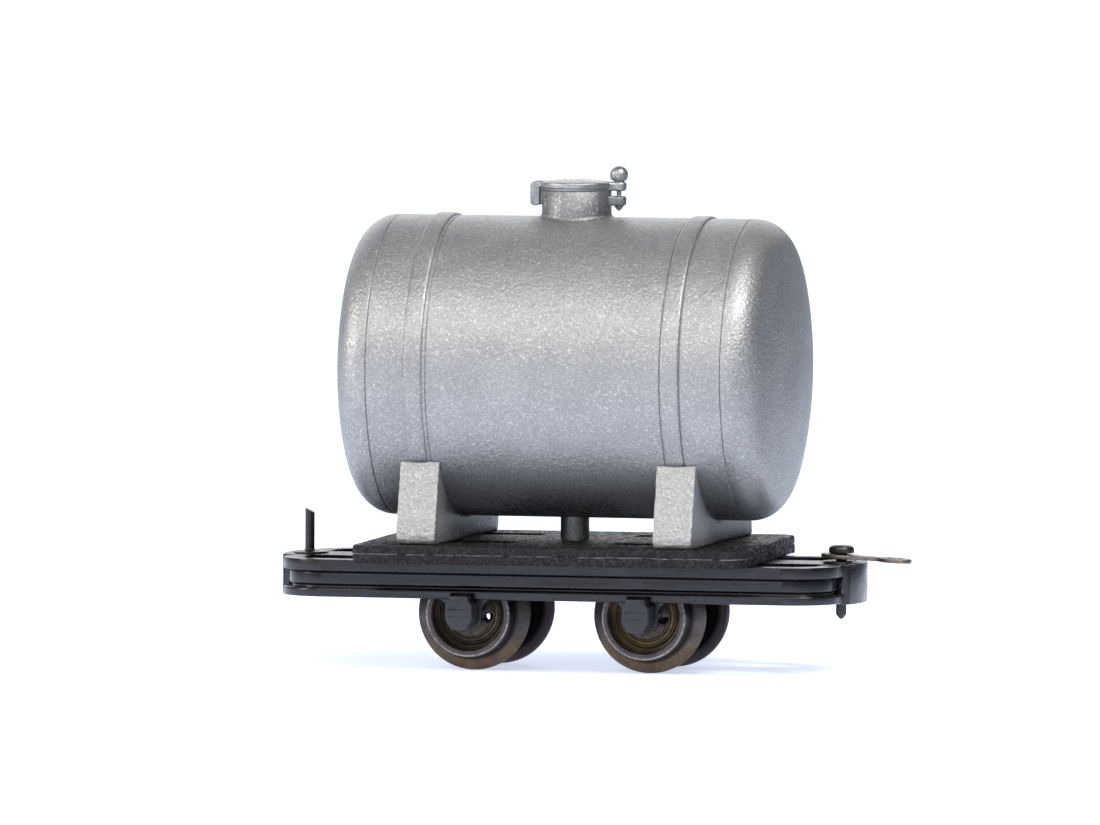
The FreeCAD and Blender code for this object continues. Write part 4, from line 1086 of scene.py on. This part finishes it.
for node, material in (("ballast_bar", BALLAST_METAL), ("tank_screws", SCREW_METAL),
                       ("insulating_bush_a", BUSH_PLASTIC), ("insulating_bush_b", BUSH_PLASTIC)):
    repaint(node, material)


# -------- floor
def make_floor():
    """A wide pale sheet at the bottom of the wheel flanges, in shade beyond the +X end."""
    size = 4.0
    floor_z = cad_bounds[0][2]
    bm = bmesh.new()
    corners = ((-size, -size), (size, -size), (size, size), (-size, size))
    bm.faces.new([bm.verts.new((x, y, floor_z)) for x, y in corners])
    floor = object_from("floor", bm)
    f = Finish("floor_paper", metallic=0.0, specular=0.2)
    tone = f.noise(0.004, detail=3)
    color = f.blend(f.spread(tone, 0.3, 0.7), (0.66, 0.72, 0.85), (0.70, 0.76, 0.89))
    shade = f.spread(f.split(f.place, "X"), 25, 90)
    color = f.blend(shade, color, (0.30, 0.34, 0.42))
    f.relief((f.noise(0.5, detail=2), 0.02))
    glow = f.blend(shade, (0.77, 0.84, 1.0), (0.18, 0.22, 0.30))
    f.feed(f.surface, **{"Emission Color": glow, "Emission Strength": 0.66})
    floor.data.materials.append(f.done(color, 0.75))


make_floor()


# -------- camera and light
def make_camera():
    """The viewing angle: a long lens, almost level, a little round to the +X end."""
    azimuth, elevation, roll = radians(13.097), radians(2.889), radians(0.331)
    distance = 964.36
    aim = Vector((-1.356, 0.089, 12.263))
    back = Vector((sin(azimuth) * cos(elevation), -cos(azimuth) * cos(elevation), sin(elevation)))
    right0 = Vector((cos(azimuth), sin(azimuth), 0))
    up0 = back.cross(right0)
    right = cos(roll) * right0 + sin(roll) * up0
    up = -sin(roll) * right0 + cos(roll) * up0
    data = bpy.data.cameras.new("camera")
    data.sensor_width = 36.0
    data.lens = 622.2
    data.clip_start = 0.05
    data.clip_end = 20.0
    camera = link_object("camera", data)
    place = Matrix((right, up, back)).transposed().to_4x4()
    place.translation = (aim + back * distance) * MM
    camera.matrix_world = place
    bpy.context.scene.camera = camera


def soft_light(name, azimuth, elevation, distance, width, height, power, color):
    """A softbox aimed at the tank. Azimuth 0 is towards -Y and 90 towards +X, in degrees."""
    a, e = radians(azimuth), radians(elevation)
    toward = Vector((sin(a) * cos(e), -cos(a) * cos(e), sin(e)))
    data = bpy.data.lights.new(name, "AREA")
    data.shape = "RECTANGLE"
    data.size = width
    data.size_y = height
    data.energy = power
    data.color = color
    light = link_object(name, data)
    light.location = toward * distance + Vector((0, 0, TANK_Z * MM))
    light.rotation_euler = toward.to_track_quat("Z", "Y").to_euler()


make_camera()
# name, azimuth, elevation, distance, width, height, power, colour
for light in (("key", 2, 38, 0.55, 0.60, 0.30, 2.35, (1.0, 0.97, 0.91)),
              ("right", 54, 48, 0.45, 0.11, 0.24, 1.8, (1, 1, 1)),
              ("left", -62, 18, 0.50, 0.11, 0.14, 1.25, (1.0, 0.94, 0.85)),
              ("back", 197, 24, 1.30, 1.40, 0.75, 6.0, (1, 1, 1))):
    soft_light(*light)


def make_world():
    """A dim room: cool overhead, darker towards +X."""
    world = bpy.data.worlds.new("studio")
    bpy.context.scene.world = world
    world.use_nodes = True
    tree = world.node_tree
    where = tree.nodes.new("ShaderNodeTexCoord")
    parts = tree.nodes.new("ShaderNodeSeparateXYZ")
    level = tree.nodes.new("ShaderNodeMapRange")
    for key, number in (("From Min", -0.2), ("From Max", 0.5), ("To Min", 0.36), ("To Max", 0.04)):
        level.inputs[key].default_value = number
    background = tree.nodes["Background"]
    background.inputs["Color"].default_value = (0.78, 0.86, 1.0, 1)
    tree.links.new(where.outputs["Generated"], parts.inputs[0])
    tree.links.new(parts.outputs["X"], level.inputs["Value"])
    tree.links.new(level.outputs["Result"], background.inputs["Strength"])


make_world()
bpy.context.scene.view_settings.view_transform = "Standard"
